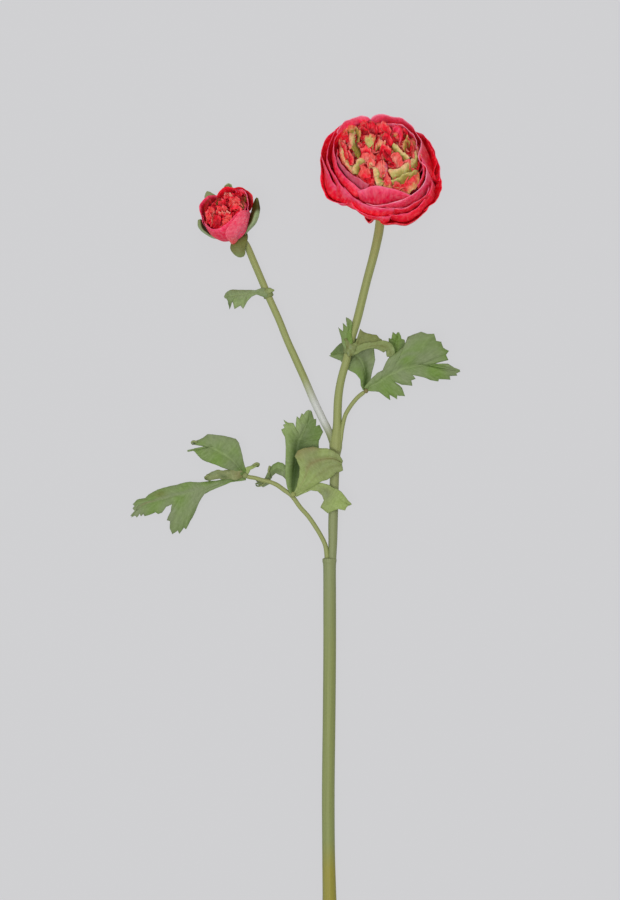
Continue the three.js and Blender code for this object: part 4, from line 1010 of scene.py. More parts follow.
# Bloom petals that the photograph shows, innermost first: rim pixels, layer, dyes and the edge's colour.
# A rim point is a pixel with a height in the flower's frame, or a pixel on the bloom's body.
BLOOM_RIMS = [
    ([(336, 148, 32), (338.5, 158, 32.5), (343, 166.5, 33), (352.5, 174.5, 33), (363, 181.5, 32.3),
      (369, 185, 31)], 0.0, RED_INSIDE, DUSKY_OUTSIDE, DUSKY_PINK),
    ([(356, 191.5), (359.5, 190), (366, 188), (373.5, 185.8), (384, 186.8), (395, 189.8), (408, 194),
      (417, 197)], 0.1, RED_INSIDE, (RED, ROSE, HOT_PINK), PINK),
    ([(418.5, 152, 29.5), (421.3, 160, 29), (422.6, 168, 28), (421.8, 177, 27), (418.5, 185.5, 26)],
     0.12, RED_INSIDE, RED_OUTSIDE, HOT_PINK),
    ([(385, 122.5, 33), (395, 123.7, 33), (404, 125.5, 33), (410, 132, 33), (416, 139, 32.5),
      (417.5, 148, 31)], 0.1, PINK_INSIDE, RED_OUTSIDE, PALE_PINK),
    ([(336, 131, 30.5), (339.5, 126.8, 31), (345.7, 121, 32), (354.6, 117.5, 32), (365.4, 116.2, 32),
      (371.5, 118.5, 31)], 0.18, PINK_INSIDE, RED_OUTSIDE, PALE_PINK),
    ([(421, 160), (425.5, 166), (426.8, 172), (425.5, 178), (422.8, 184.5), (417, 191), (411, 196),
      (403, 199.5), (392, 202.4), (384, 204.6), (375, 205.8), (366, 203.6)],
     0.25, RED_INSIDE, ROSE_OUTSIDE, PALE_PINK),
    ([(341, 128, 30), (336.5, 136, 30), (334, 146, 30), (334.5, 156, 29), (338, 166, 28), (344, 175, 28),
      (352, 183, 27.6), (358.5, 188.5, 26), (364, 193, 24)], 0.28, RED_INSIDE, RED_OUTSIDE, HOT_PINK),
    ([(369, 119, 31), (374, 115.6, 31), (381.4, 114.8, 30), (392, 115.7, 30), (402, 118.4, 30),
      (410, 124.6, 30), (415.4, 130.9, 30), (420.7, 139, 30), (421.2, 144.3, 30), (418, 155, 30),
      (421, 161, 29)], 0.3, PINK_INSIDE, DEEP_OUTSIDE, PALE_PINK),
    ([(341, 124, 26), (333, 133, 26), (328.5, 147, 25), (327, 155, 24.5), (328.8, 162, 24),
      (331.4, 169.3, 24), (336.8, 179.1, 24), (343, 188, 24), (352, 197, 24), (361, 203, 24)],
     0.45, RED_INSIDE, RED_OUTSIDE, HOT_PINK),
    ([(344, 188), (354, 198), (363.6, 203.4), (376, 207.7), (390.4, 208.6), (403.8, 207.7)],
     0.5, RED_INSIDE, RED_OUTSIDE, PINK),
    ([(384, 207.2), (396, 208.6), (405, 207.7), (417.1, 201.4), (426, 194.2), (430, 186)],
     0.56, RED_INSIDE, DEEP_OUTSIDE, PINK),
    ([(347, 121.5, 20), (340, 125, 21), (330, 134, 22), (324.3, 142.5, 21), (320.7, 153.2, 20),
      (323.4, 162, 19.5), (328, 169.3, 19.5), (332.3, 181, 20), (339.5, 189, 20), (345.7, 195, 20.5),
      (355, 202, 21)], 0.62, RED_INSIDE, RED_OUTSIDE, HOT_PINK),
    ([(441.5, 180, 14), (439.5, 167.5, 14), (436.8, 157.7, 15), (432.3, 147, 16), (425.2, 136, 18),
      (415.4, 130, 20)], 0.66, RED_INSIDE, DEEP_OUTSIDE, HOT_PINK),
    ([(388.6, 215), (399.3, 214.2), (410, 212.5), (418, 207), (425.2, 199), (430, 190), (433, 180)],
     0.72, RED_INSIDE, DEEP_OUTSIDE, HOT_PINK),
    ([(350, 202), (356.4, 209.5), (365.4, 214), (374.3, 216.4), (381.4, 217), (388, 216.6),
      (391.5, 216.2)], 0.8, RED_INSIDE, RED_OUTSIDE, HOT_PINK),
    ([(326, 142, 15), (321.5, 152, 14), (320.2, 160, 13.5), (321.6, 172.9, 12.5), (320.7, 181, 12),
      (322.5, 189.8, 12), (327, 197.9, 13), (336.8, 202.3, 15), (344, 203.5, 16), (354, 206, 17)],
     0.86, RED_INSIDE, HOT_OUTSIDE, HOT_PINK),
    ([(424, 211, 12), (430, 205.6, 12), (436.8, 199.6, 12), (440.4, 190.7, 12), (441.7, 180.9, 13),
      (440.8, 172, 14)], 0.88, RED_INSIDE, DEEP_OUTSIDE, RED),
    ([(377, 217, 11), (381.6, 223.6, 10), (385.9, 223.3, 10), (395.7, 222.9, 10), (402.9, 224.6, 10),
      (409, 223.3, 10), (417.1, 218.8, 10.5), (425.2, 213, 11), (430, 206, 11.5)],
     0.94, RED_INSIDE, DEEP_OUTSIDE, RED),
    ([(364.3, 213, 8), (365, 218.5, 7), (367.3, 221.5, 6.5), (371, 220.8, 6.5), (375, 216, 8)],
     1.0, RED_INSIDE, DEEP_OUTSIDE, RED),
]

# Bloom petals behind those, as (azimuth, spread, rim radius, rim height)
BLOOM_BEHIND = [
    (10, 46, 34, 18), (128, 46, 34.5, 17), (240, 44, 30, 15), (318, 42, 32, 13), (188, 36, 33, 11),
    (60, 46, 35.5, 10), (350, 42, 35, 9), (100, 50, 36.5, 5), (150, 40, 35.5, 7), (30, 40, 35.5, 7),
]
BLOOM_PACKED = 9  # petals packed between the heart and those


def bloom_petals():
    surfaces = []
    courses = [rim_course(BLOOM, rim, BLOOM_BODY, 0.9 * layer) for rim, layer, *_ in BLOOM_RIMS]
    for i, (_, layer, *dyes) in enumerate(BLOOM_RIMS):
        stops = bloom_stops(layer, *courses[i], next_rim(courses[i], courses[i + 1:]))
        surfaces.append(petal_sheet(cupped(BLOOM, stops, courses[i][0], 22, 0, 0.25, i + 1), dyes, i + 1))
    for i, shape in enumerate(BLOOM_BEHIND):
        layer = mix(0.66, 1, (i + 1) / len(BLOOM_BEHIND))
        surfaces.append(round_petal(BLOOM, *shape, layer, (RED_INSIDE, RED_OUTSIDE, RED), i + 40))
    for i in range(BLOOM_PACKED):
        layer = mix(0.06, 0.64, i / (BLOOM_PACKED - 1))
        shape = math.degrees(i * GOLDEN_ANGLE), 52, mix(26, 31, layer), mix(23, 10, layer)
        surfaces.append(round_petal(BLOOM, *shape, layer, (RED_INSIDE, RED_OUTSIDE, HOT_PINK), i + 60))
    return surfaces


# Dyes of heart petals: rim, middle and foot; a darker foot is partly painted shade down between the folds
LIME_FOLD = (PEACH, LIME, OLIVE)
BLUSH_FOLD = (CORAL, PEACH, LIME)
GOLD_FOLD = (CORAL, GOLD, OLIVE)
CORAL_FOLD = (CORAL_PALE, CORAL, RED)
ROSE_FOLD = (CORAL_BRIGHT, RED, CRIMSON)
RED_FOLD = (RED, CRIMSON, DEEP_RED)
OLIVE_FOLD = (OLIVE, OLIVE, DARK_OLIVE)
BROWN_FOLD = (BROWN_RED, BROWN_RED, DARK_OLIVE)

# Heart petals that the photograph shows: rim pixels, the foot's shift in pixels, dyes, foot width
BLOOM_FOLDS = [
    ([(389.5, 170), (394.5, 168.3), (401, 166.5), (407, 162.5), (411.5, 157.5), (415, 152)],
     (3, 12), LIME_FOLD, 0.85),
    ([(393, 180.5), (399, 177), (405, 173.5), (411, 171.3), (416.5, 171.5)],
     (-2, 11), (LIME, OLIVE, OLIVE), 0.7),
    ([(403, 194), (408, 194), (413.5, 190), (418, 185), (419, 178.5), (416.5, 171.5)],
     (-7, -7), (GOLD, CORAL, RED), 0.7),
    ([(383.5, 188.5), (390, 190), (396.5, 192), (404, 194.5)], (2, -10), (GOLD, CORAL, RED), 0.8),
    ([(394.5, 143), (400, 148.5), (405, 153.5), (409.5, 157)], (-4, 5), LIME_FOLD, 0.8),
    ([(364.5, 138), (369, 134.5), (375.8, 135)], (1, 14), (CORAL, LIME, LIME), 0.25),
    ([(376, 145), (379, 140.5), (385, 141)], (-1, 9), (CORAL_PALE, GOLD, DARK_OLIVE), 0.75),
    ([(354, 127.5), (349.5, 133), (349, 141), (349.3, 148.5)], (6, 2), BLUSH_FOLD, 0.75),
    ([(357, 128), (360.5, 133), (359, 142)], (-3, 3), (GOLD, OLIVE, DARK_OLIVE), 0.75),
    ([(339.3, 141), (339.8, 150), (341, 159), (345.5, 166), (351, 172)], (5, -1), BLUSH_FOLD, 0.75),
    ([(353, 173), (353.5, 166), (357, 161), (362, 157)], (5, 4), LIME_FOLD, 0.75),
    ([(367, 163), (370, 158.5), (375.5, 161)], (1, 9), (CORAL_BRIGHT, CORAL, PEACH), 0.7),
    ([(372.5, 168), (374.5, 178), (378.5, 187.5)], (7, -1), LIME_FOLD, 0.6),
    ([(359, 174), (362, 167), (369, 169)], (3, 11), (CORAL, CORAL, RED), 0.8),
    ([(380, 149), (383, 143.5), (391, 149)], (0, 8), ROSE_FOLD, 0.8),
    ([(389.5, 162), (392, 155.5), (397.5, 152.8), (401.5, 157.5), (402.3, 164)],
     (-4, 7), (CORAL_BRIGHT, CORAL, CORAL_PALE), 0.6),
    ([(383, 154), (386, 160), (391, 162)], (2, -6), (CRIMSON, DEEP_RED, DEEP_RED), 0.75),
    ([(403, 148), (404.5, 141), (407.5, 136), (409.5, 141)], (1, 10), (GOLD, OLIVE, BROWN_RED), 0.6),
    ([(403.5, 163), (406, 159.5), (410, 161.5), (410.5, 166)],
     (-2, 7), (CORAL_BRIGHT, CORAL, CORAL), 0.75),
    ([(359, 126), (361, 120), (366, 118.8), (368, 124)], (0, 9), (RED, CORAL, CRIMSON), 0.9),
    ([(367, 124), (373, 122.5), (377, 127)], (0, 12), RED_FOLD, 0.9),
    ([(378, 124), (385, 122.5), (391, 130)], (-1, 9), ROSE_FOLD, 0.8),
    ([(392.5, 133), (395, 126.5), (399, 125.5), (402, 130), (402, 137)],
     (-3, 9), (RED, HOT_PINK, CRIMSON), 0.8),
    ([(383, 135), (388, 134), (393, 141)], (-3, 9), RED_FOLD, 0.8),
    ([(343, 132), (346, 127), (351, 125.5), (356, 126.5)], (1, 9), GOLD_FOLD, 0.8),
    ([(340, 140), (341.5, 134), (347, 131.5)], (3, 10), (CORAL, RED, RED), 0.8),
    ([(361, 149), (366, 145.5), (371, 150)], (0, 9), ROSE_FOLD, 0.8),
    ([(358.5, 159), (363, 154.5), (369, 152.5), (375, 156)],
     (0, 9), (CORAL_BRIGHT, CORAL, CORAL_PALE), 0.75),
    ([(376, 166), (381, 160.5), (386, 163)], (2, 15), (CORAL_BRIGHT, CORAL_PALE, CORAL), 0.75),
    ([(385.5, 163), (387.8, 168), (385, 176)], (-4, 5), (DUSKY_PINK, CORAL_PALE, OLIVE), 0.7),
    ([(387, 172), (390, 178), (392, 185)], (-6, 1), (CORAL, CORAL, RED), 0.75),
    ([(349, 151), (353, 157), (353, 165)], (-5, 2), ROSE_FOLD, 0.75),
    ([(342, 143), (346, 145), (348, 157)], (-3, 6), (CORAL, RED, CRIMSON), 0.75),
    ([(409, 139), (413.5, 146), (414.5, 158)], (-4, 2), (CORAL, BROWN_RED, CRIMSON), 0.75),
    ([(393, 186), (396, 181.5), (401, 185)], (0, 6), (CORAL_BRIGHT, CORAL, RED), 0.7),
    ([(352, 149), (356, 155), (359, 160)], (3, -7), OLIVE_FOLD, 0.7),
    ([(402.5, 128), (406.5, 131), (409, 139)], (-1, 5), RED_FOLD, 0.8),
    ([(363, 128), (368, 130), (372, 137)], (-1, 5), (RED, BROWN_RED, DEEP_RED), 0.8),
]


CRUMPLE = 0.6  # how far the folds of a heart wander
CORE_SINK = 1.9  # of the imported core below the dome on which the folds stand


def crumple(flower, rim, foot_shift, dyes, narrow, lift, seed):
    """A crumpled petal of a heart from a sunken foot to a rim over the dome."""
    columns, rows = 22, 14
    path = smooth(rim, columns)
    path = path.mean(axis=0) + 1.12 * (path - path.mean(axis=0))
    top = np.array([flower.on_dome(px, py, lift) for px, py in path])
    centre = path.mean(axis=0)
    narrowed = centre + narrow * (path - centre) + np.array(foot_shift)
    foot = np.array([flower.on_dome(px, py, -0.2) for px, py in narrowed])
    s = np.linspace(0, 1, rows)[:, None, None]
    t = np.linspace(-1, 1, columns)
    up = np.array([0, 0, 1.0])
    pleat = (0.7 * np.sin(7 * t + seed) + 0.45 * np.sin(15 * t + 2 * seed))[None, :, None] * s**1.2
    grid = mix(foot[None], top[None], s) + (0.7 * np.sin(math.pi * s) + pleat) * up
    return fold_sheet(flower, wobble(grid, 3.6, CRUMPLE, seed), dyes, seed)


def fold_sheet(flower, grid, dyes, seed):
    """A heart petal round middle points in its flower's frame, clouded with (rim, middle, foot) dyes."""
    rim, middle, foot = dyes
    shade = np.clip(np.linspace(0, 1, len(grid))[:, None] + 0.4 * clouds(grid, 2.4, (seed, 3, 0)), 0, 1)
    # darker towards the foot, partly painted shade between the folds
    dye = gradient(shade, [(0, foot), (0.15, foot), (0.55, middle), (0.9, rim), (1, rim)])
    return blade(flower.out(grid), PETAL_THICKNESS, dye, dye, 0.9 * linear(rim), seed)


def heart_filler(flower, count, width, length, dyes, draw, first_seed):
    """Crumpled petals all over the dome, between those that the photograph shows."""
    surfaces = []
    columns, rows = 18, 10
    t = np.linspace(-1, 1, columns)[None, :, None]
    s = np.linspace(0, 1, rows)[:, None, None]
    for i in range(count):
        reach = 0.9 * math.sqrt((i + 0.6) / count)
        turn = i * GOLDEN_ANGLE
        radial = np.array([math.cos(turn), math.sin(turn), 0.0])
        foot = reach * flower.reach * radial
        foot[2] = flower.dome_height(foot) - CORE_SINK
        normal = unit(0.9 * reach**3 * radial + [0, 0, 1])
        across = unit(np.cross(normal, [math.cos(turn * 7), math.sin(turn * 7), 0.2]))
        lean = np.cross(across, normal)
        rise = length * draw.uniform(0.45, 0.75)
        flop = length * draw.uniform(0.3, 0.9)
        up = s * (1 - 0.25 * t * t)
        grid = (foot + across * 0.5 * width * t * mix(0.6, 1, s) + normal * rise * up
                + lean * flop * up**1.3 + lean * 0.8 * s * np.sin(5 * t + i))
        grid = wobble(grid, 3.0, CRUMPLE, first_seed + i)
        surfaces.append(fold_sheet(flower, grid, draw.choice(dyes), first_seed + i))
    return surfaces


def turned(flower, outline, colour, sides=24):
    """A body turned round a flower's axis from (radius, height) stops."""
    rows = np.array(outline, float)
    radius = np.maximum(rows[:, :1], 0.02)
    angle = np.linspace(0, 2 * math.pi, sides, endpoint=False)
    height = np.repeat(rows[:, 1:], sides, axis=1)
    skin = np.stack([radius * np.cos(angle), radius * np.sin(angle), height], axis=-1).reshape(-1, 3)
    faces = grid_faces(len(rows), sides, flip=True, closed=True)
    return flower.out(skin), faces, np.tile(linear(colour), (len(skin), 1)), skin


def packed_core(flower, foot, dyes, seed):
    """The crumpled mass under a heart's petals: a dome with folds all over, down to a plain foot."""
    sides, rings = 84, 40
    radii = flower.reach * 0.96 * np.linspace(1, 0, rings) ** 0.8
    outline = foot + [(radius, flower.dome_height((radius, 0)) - CORE_SINK) for radius in radii]
    points, faces, dye, grain = turned(flower, outline, dyes[0][1], sides)
    for i in range(len(foot) * sides, len(points)):
        place = Vector(points[i] / 3.2) + Vector((seed, 0, 0))
        fold = 1 - 2 * abs(noise.noise(place))
        points[i] += flower.turn[:, 2] * (2.0 * fold - 1.0 + flower.tilt * grain[i, 1])
        tone = 0.5 + 0.35 * noise.noise(place * 0.6) + 0.45 * (fold - 0.6)
        dye[i] = gradient([min(max(tone, 0), 1)], dyes)[0]
    return points, faces, dye, grain


FILLER_DYES = [CORAL_FOLD, ROSE_FOLD, RED_FOLD, GOLD_FOLD, (CORAL, RED, CRIMSON)]
BUD_FILLER_DYES = [RED_FOLD, (RED, RED, CRIMSON), (CORAL, RED, CRIMSON), RED_FOLD]
CORE_DYES = [(0, CRIMSON), (0.35, RED), (0.6, RED), (0.8, CORAL), (1, GOLD)]
BUD_CORE_DYES = [(0, DEEP_RED), (0.4, CRIMSON), (0.7, RED), (1, CORAL)]
BUD_FOLDS = [
    ([(206.3, 213), (208, 209), (211.5, 207.3), (215, 209.5)], (1, 7), (RED, CORAL, CRIMSON), 0.8),
    ([(206, 222), (206.3, 217), (208.3, 213.5), (211, 214)], (2, 6), (RED, CORAL, CRIMSON), 0.8),
    ([(211.5, 225.5), (211.8, 221), (212.3, 216), (213.5, 213)],
     (3, 1), (CORAL_PALE, BROWN_RED, CRIMSON), 0.8),
    ([(214.5, 219), (217, 215.5), (220.5, 217)], (0, 9), RED_FOLD, 0.8),
    ([(216.5, 209.5), (219, 206), (223.5, 206), (227, 208)], (0, 6), (RED, CORAL, CRIMSON), 0.8),
    ([(219.5, 213.5), (222, 211.5), (224.5, 213.5)], (0, 4), (CORAL_PALE, CORAL, RED), 0.8),
    ([(225, 212.5), (227.5, 210.5), (230.5, 212.5)], (0, 5), (CORAL_PALE, CORAL, RED), 0.8),
    ([(223.5, 219), (226, 215.3), (229, 214.3), (232, 215.5)], (1, 6), (RED, CORAL, CRIMSON), 0.8),
    ([(221, 225), (223, 221), (227, 219)], (3, 4), (CORAL, CORAL, RED), 0.8),
    ([(229, 202), (231, 198), (235, 196.5), (239.5, 199)], (1, 8), (RED, CORAL, CRIMSON), 0.8),
    ([(232, 207), (235, 203.5), (240, 203), (243, 207)], (-2, 6), (CORAL, CORAL, RED), 0.8),
    ([(224.5, 195.5), (228, 192.8), (231, 194), (233.5, 198)], (-1, 6), (CORAL_PALE, CORAL, RED), 0.8),
    ([(218.5, 202.5), (222, 199.5), (226, 200)], (1, 6), RED_FOLD, 0.8),
    ([(233, 194), (237, 192), (242, 194)], (0, 6), (RED, CRIMSON, DEEP_RED), 0.8),
    ([(240.5, 206), (241.5, 200), (243.5, 196), (245.5, 195)], (3, 4), BROWN_FOLD, 0.8),
    ([(215.5, 201.5), (218.5, 198.5), (222, 199.5)], (1, 4), BROWN_FOLD, 0.8),
]


def heart(flower, foot, core_dyes, core_seed, folds, lift):
    """A packed core and the petals that the photograph shows on it, each standing out by the lift."""
    return [packed_core(flower, foot, core_dyes, core_seed)] + [
        crumple(flower, rim, shift, dyes, narrow, lift, i + 1)
        for i, (rim, shift, dyes, narrow) in enumerate(folds)]


def bloom_heart():
    foot = [(0, 8.8), (8, 9), (15, 11.6), (20, 15)]
    return (heart(BLOOM, foot, CORE_DYES, 3, BLOOM_FOLDS, 2.6)
            + heart_filler(BLOOM, 66, 10, 4.2, FILLER_DYES, random.Random(11), 100))


# Bud petals that the photograph shows; their darkest red inner faces, and the dark red petal at the back on
# the right, are painted shade
BUD_RIMS = [
    ([(236, 190.5, 23), (243.3, 190, 22), (246.8, 195, 20), (248.3, 201.7, 17), (247.7, 211, 16)],
     0.2, SHADED_INSIDE, RED_OUTSIDE, PINK),
    ([(217, 196, 24), (219.2, 191.7, 25), (223.3, 187.8, 25), (229.2, 186.7, 25), (234.2, 187.9, 24.5),
      (238, 191, 24)], 0.4, (DEEP_RED, DEEP_RED, CRIMSON), RED_OUTSIDE, RED),
    ([(211, 197.8, 22), (207, 199.8, 21.5), (204.6, 204.5, 20.5), (204, 210.5, 19.5), (204.6, 217, 18.5)],
     0.5, SHADED_INSIDE, RED_OUTSIDE, BROWN_RED),
    ([(231, 189, 23), (238, 187.5, 23), (243.3, 187.9, 22), (248.3, 190.8, 20), (252, 195.8, 17),
      (252.8, 202.5, 13), (250.3, 210, 9)],
     0.6, (DARK_RED, DARK_RED, DEEP_RED), (DEEP_RED, DEEP_RED, DEEP_RED), CRIMSON),
    ([(217, 195.5, 24), (211, 195.5, 24), (206.7, 196.7, 23.5), (201.5, 201.7, 23), (200, 207.5, 22),
      (201, 215, 19.5), (203, 222, 17)], 0.7, (DARK_RED, DARK_RED, DEEP_RED), HOT_OUTSIDE, HOT_PINK),
    ([(202.5, 215, 19.5), (203.2, 219, 19), (205.5, 223.5, 19), (210, 227.7, 19), (215, 229, 19),
      (220, 228.5, 19), (224, 225.5, 19.5), (230, 221, 20), (236, 214.5, 20), (241, 211, 20)],
     0.8, RED_INSIDE, ROSE_OUTSIDE, HOT_PINK),
]
BUD_BODY = [(7, 0), (10.5, 3), (13, 7), (14.4, 11), (14.8, 15), (14.2, 19),
            (13.4, 21)]  # radius and height

# The bud's front petal, rim to foot: pixels with a distance off the body
BUD_FRONT = [
    [(238.3, 213.5, 0.6), (240.5, 211, 0.4), (243.5, 210.3, 0), (247, 210.8, -0.4), (250.3, 212.5, -0.8)],
    [(234.5, 218.5, 1.9), (237.5, 217.5, 1.3), (241.5, 217.5, 0.6), (245.5, 218, 0), (249, 219.5, -0.8)],
    [(229.5, 225.5, 2.2), (233.5, 224.5, 1.6), (238, 224.5, 1.0), (242, 225, 0.4), (246, 226.5, -0.8)],
    [(225.3, 232.5, 2.2), (229.5, 231.5, 1.7), (234, 231.2, 1.2), (238.5, 231.5, 0.6),
     (242.5, 232.8, -0.8)],
    [(227.3, 238, 1.5), (230.5, 238, 1.4), (233.8, 238, 1.1), (236.5, 238, 0.6), (239, 238, -0.4)],
    [(231, 243.3, 0.5), (232.6, 243.9, 0.6), (234, 244.3, 0.5), (235.7, 243, 0.3), (237, 241.5, 0)],
]
BUD_PACKED = 7  # petals packed inside those


def bud_front(seed):
    """The bud's front petal, a sheet on its body through pixels."""
    points = [[BUD.on_body(px, py, BUD_BODY, extra) for px, py, extra in row] for row in BUD_FRONT]
    grid = wobble(BUD.out(patch(points)), 5.0, 0.3, seed)
    s = places_along(*grid.shape[:2])
    front = gradient(s, [(0, BUD_PINK), (0.7, BUD_PINK), (1, CORAL)])
    return blade(grid, PETAL_THICKNESS, front, gradient(s, [(0, RED), (1, CRIMSON)]), HOT_PINK, seed)


def bud_petals():
    surfaces = []
    for i, (rim, layer, *dyes) in enumerate(BUD_RIMS):
        course = rim_course(BUD, rim)
        grid = cupped(BUD, bud_stops(layer, *course), course[0], 16, 0, 0.1, i + 1)
        surfaces.append(petal_sheet(grid, dyes, i + 1))
    surfaces.append(bud_front(9))
    for i in range(BUD_PACKED):
        layer = i / (BUD_PACKED - 1)
        shape = math.degrees(i * GOLDEN_ANGLE), 58, mix(13.2, 14, layer), mix(18, 15, layer)
        dyes = (SHADED_INSIDE, HOT_OUTSIDE, HOT_PINK)
        surfaces.append(round_petal(BUD, *shape, layer, dyes, i + 20, 0.1))
    return surfaces


def bud_heart():
    foot = [(0, 4.2), (5, 5.3), (8.6, 9), (11, 12)]
    return (heart(BUD, foot, BUD_CORE_DYES, 8, BUD_FOLDS, 2.0)
            + heart_filler(BUD, 26, 6.0, 3.2, BUD_FILLER_DYES, random.Random(5), 300))


# Sepals
BLOOM_SEPALS = 5
BLOOM_SEPAL = [(3, -1.6), (9, -1.1), (13, -1.4), (17, -1.9)]  # radius and height along one
BUD_SEPAL_ROOT = (4.2, -1.8)  # radius and height of the feet of the bud's sepals


def bloom_sepal(k):
    """One of the sepals behind the bloom."""
    columns, rows = 15, 15
    t = np.linspace(-1, 1, columns)
    grid = np.zeros((rows, columns, 3))
    across, up = zip(*BLOOM_SEPAL)
    for r in range(rows):
        s = r / (rows - 1)
        along = s * (1 - 0.2 * np.abs(t) ** 3)
        width = 0.35 + 0.65 * math.sin(math.pi * min(1.0, 0.15 + 0.85 * s))
        turn = math.radians(18 + 360 / BLOOM_SEPALS * k) + math.radians(26) * t * width
        radius = bezier(across, along)
        grid[r] = np.stack([radius * np.cos(turn), radius * np.sin(turn), bezier(up, along)], axis=-1)
    grid = BLOOM.out(wobble(grid, 5.0, 0.4, k))
    s = places_along(rows, columns)
    front = gradient(s, [(0, SEPAL), (1, SEPAL)])
    back = gradient(s, [(0, SEPAL), (0.8, SEPAL), (1, LEAF_UNDER_OLIVE)])
    return blade(grid, LEAF_THICKNESS, front, back, SEPAL, k)


# Bud sepals, tip to foot: pixels with a height in the bud's frame, or above the table for the folded one
BUD_SEPAL_LEFT = [
    [(203, 220.8, 14), (200.6, 219.8, 16), (198.3, 220.3, 16)],
    [(205.3, 226.5, 10), (202, 227.6, 13), (198.6, 226.9, 12.5)],
    [(210.5, 232, 7), (207.5, 233, 10), (203.3, 232.3, 9)],
    [(218, 235.5, 5), (215.3, 236.8, 8), (212, 237.8, 6)],
    [(226.5, 235, 3), (226.3, 237.5, 5), (225, 239.5, 3)],
]
BUD_SEPAL_RIGHT = [
    [(255.6, 198.6, 15), (256.5, 197.8, 16), (257.6, 198.4, 15)],
    [(253.4, 203.5, 12.5), (256.5, 203.3, 14), (259, 203.3, 13)],
    [(252, 208.5, 11), (257, 208.5, 12.5), (259.8, 208.3, 11)],
    [(251.2, 213, 9.5), (255.5, 213.5, 11), (259.2, 213.5, 9)],
    [(249, 218.5, 8), (253.6, 219, 9.5), (257.8, 218.8, 7)],
    [(246.2, 224.5, 6), (250.6, 225.2, 7), (254.8, 224.5, 5)],
    [(243.8, 231, 3), (246.6, 231.2, 3.8), (249.7, 229.8, 1.5)],
]
BUD_SEPAL_FAR_LEFT = [
    [(206, 193.3, 25), (207.7, 191.3, 25.5), (211.3, 193, 25)],
    [(205, 197, 22.5), (209.5, 196.5, 22.5), (216.5, 196.5, 22.5)],
    [(206, 206, 16), (211, 205, 16), (217, 203, 15)],
    [(215, 222, 4), (217, 221, 3.5), (220, 219, 3)],
]
BUD_SEPAL_FAR = [
    [(225, 185.5, 22), (227.8, 183.8, 22.3), (231.3, 184.6, 22)],
    [(224, 188.5, 20), (228, 188, 20), (232.5, 188.5, 20)],
    [(224, 200, 15), (229, 199, 15), (235, 199, 14)],
    [(231, 219, 3), (234, 218, 2.5), (237, 218, 2)],
]
BUD_SEPAL_FOLDED = [
    [(238, 238, 12), (242, 235, 13), (246.8, 232, 12)],
    [(232.5, 242, 12.5), (240, 240, 13.4), (247.6, 237.5, 12)],
    [(230.8, 246.5, 12), (238.5, 246, 13.2), (246, 244, 12)],
    [(232, 251, 11.4), (238.8, 251.5, 12.6), (244.8, 249.5, 11.4)],
    [(234.5, 254.5, 10.6), (239.5, 255.5, 11.6), (245, 254, 10.4)],
    [(238, 256.9, 10), (240.5, 257.3, 10.2), (243.6, 256.4, 9.8)],
]


def sepal_patch(rows, along_dye, inner, seed, in_space=False):
    """A sepal through pixels, with a strip of painted shade along its left edge, as wide as inner, 0 to 1.
    """
    net = [[seen_at(*at) if in_space else BUD.seen(*at) for at in row] for row in rows]
    if not in_space:
        radius, height = BUD_SEPAL_ROOT
        net.append([np.array([*(radius * unit(point[:2])), height]) for point in net[-1]])
        net = BUD.out(np.array(net))
    columns, rows = 13, 22
    grid = wobble(patch(net, columns, rows), 4.0, 0.3, seed)
    t = np.linspace(-1, 1, columns)[None, :]
    dye = gradient(places_along(rows, columns), along_dye)
    # painted shade where the sepal meets the petals, on both of its faces
    shadow = np.clip(3.5 * (2 * inner - 0.8 - t), 0, 1) * min(1, 9 * inner)
    dye = mix(dye, linear(SEPAL_SHADE), shadow[..., None])
    return blade(grid, LEAF_THICKNESS, dye, dye, None, seed)


def bloom_calyx():
    cup = [(0, -6), (3.4, -6), (4.4, -4), (5.6, -2.4), (5.4, 0.6), (0, 1)]
    return [turned(BLOOM, cup, SEPAL)] + [bloom_sepal(k) for k in range(BLOOM_SEPALS)]


def bud_calyx():
    cup = [(0, -5), (2.8, -5), (3.6, -3.4), (4.6, -2), (4, 0.6), (0, 1)]
    green = [(0, LEAF_UNDER_OLIVE), (0.3, SEPAL), (1, SEPAL)]
    # the right sepal is painted dark with shade near its tip, in the gap beside the bud
    shaded_tip = [(0, SEPAL_OLIVE), (0.12, SEPAL_SHADE), (0.3, SEPAL_SHADE), (0.42, SEPAL), (1, SEPAL)]
    # the folded sepal is painted dark with shade at its top, under the bud
    folded = [(0, SEPAL_SHADE), (0.3, SEPAL_OLIVE), (0.55, BRACT_OLIVE), (0.8, BRACT),
              (1, LEAF_UNDER_OLIVE)]
    return [turned(BUD, cup, SEPAL),
            sepal_patch(BUD_SEPAL_LEFT, green, 0.52, 1),
            sepal_patch(BUD_SEPAL_RIGHT, shaded_tip, 0.42, 2),
            sepal_patch(BUD_SEPAL_FAR_LEFT, green, 0, 3),
            sepal_patch(BUD_SEPAL_FAR, [(0, LEAF_PALE), (0.3, SEPAL), (1, SEPAL)], 0, 4),
            sepal_patch(BUD_SEPAL_FOLDED, folded, 0, 5, in_space=True)]


def neck_stops(flower, depth, radius):
    """The last stops of a stalk, which turns up into the cup behind a flower."""
    return [[*flower.out(np.array([0, 0, -depth - 1.2 * radius])), radius],
            [*flower.out(np.array([0, 0, -depth + 1.0])), radius]]


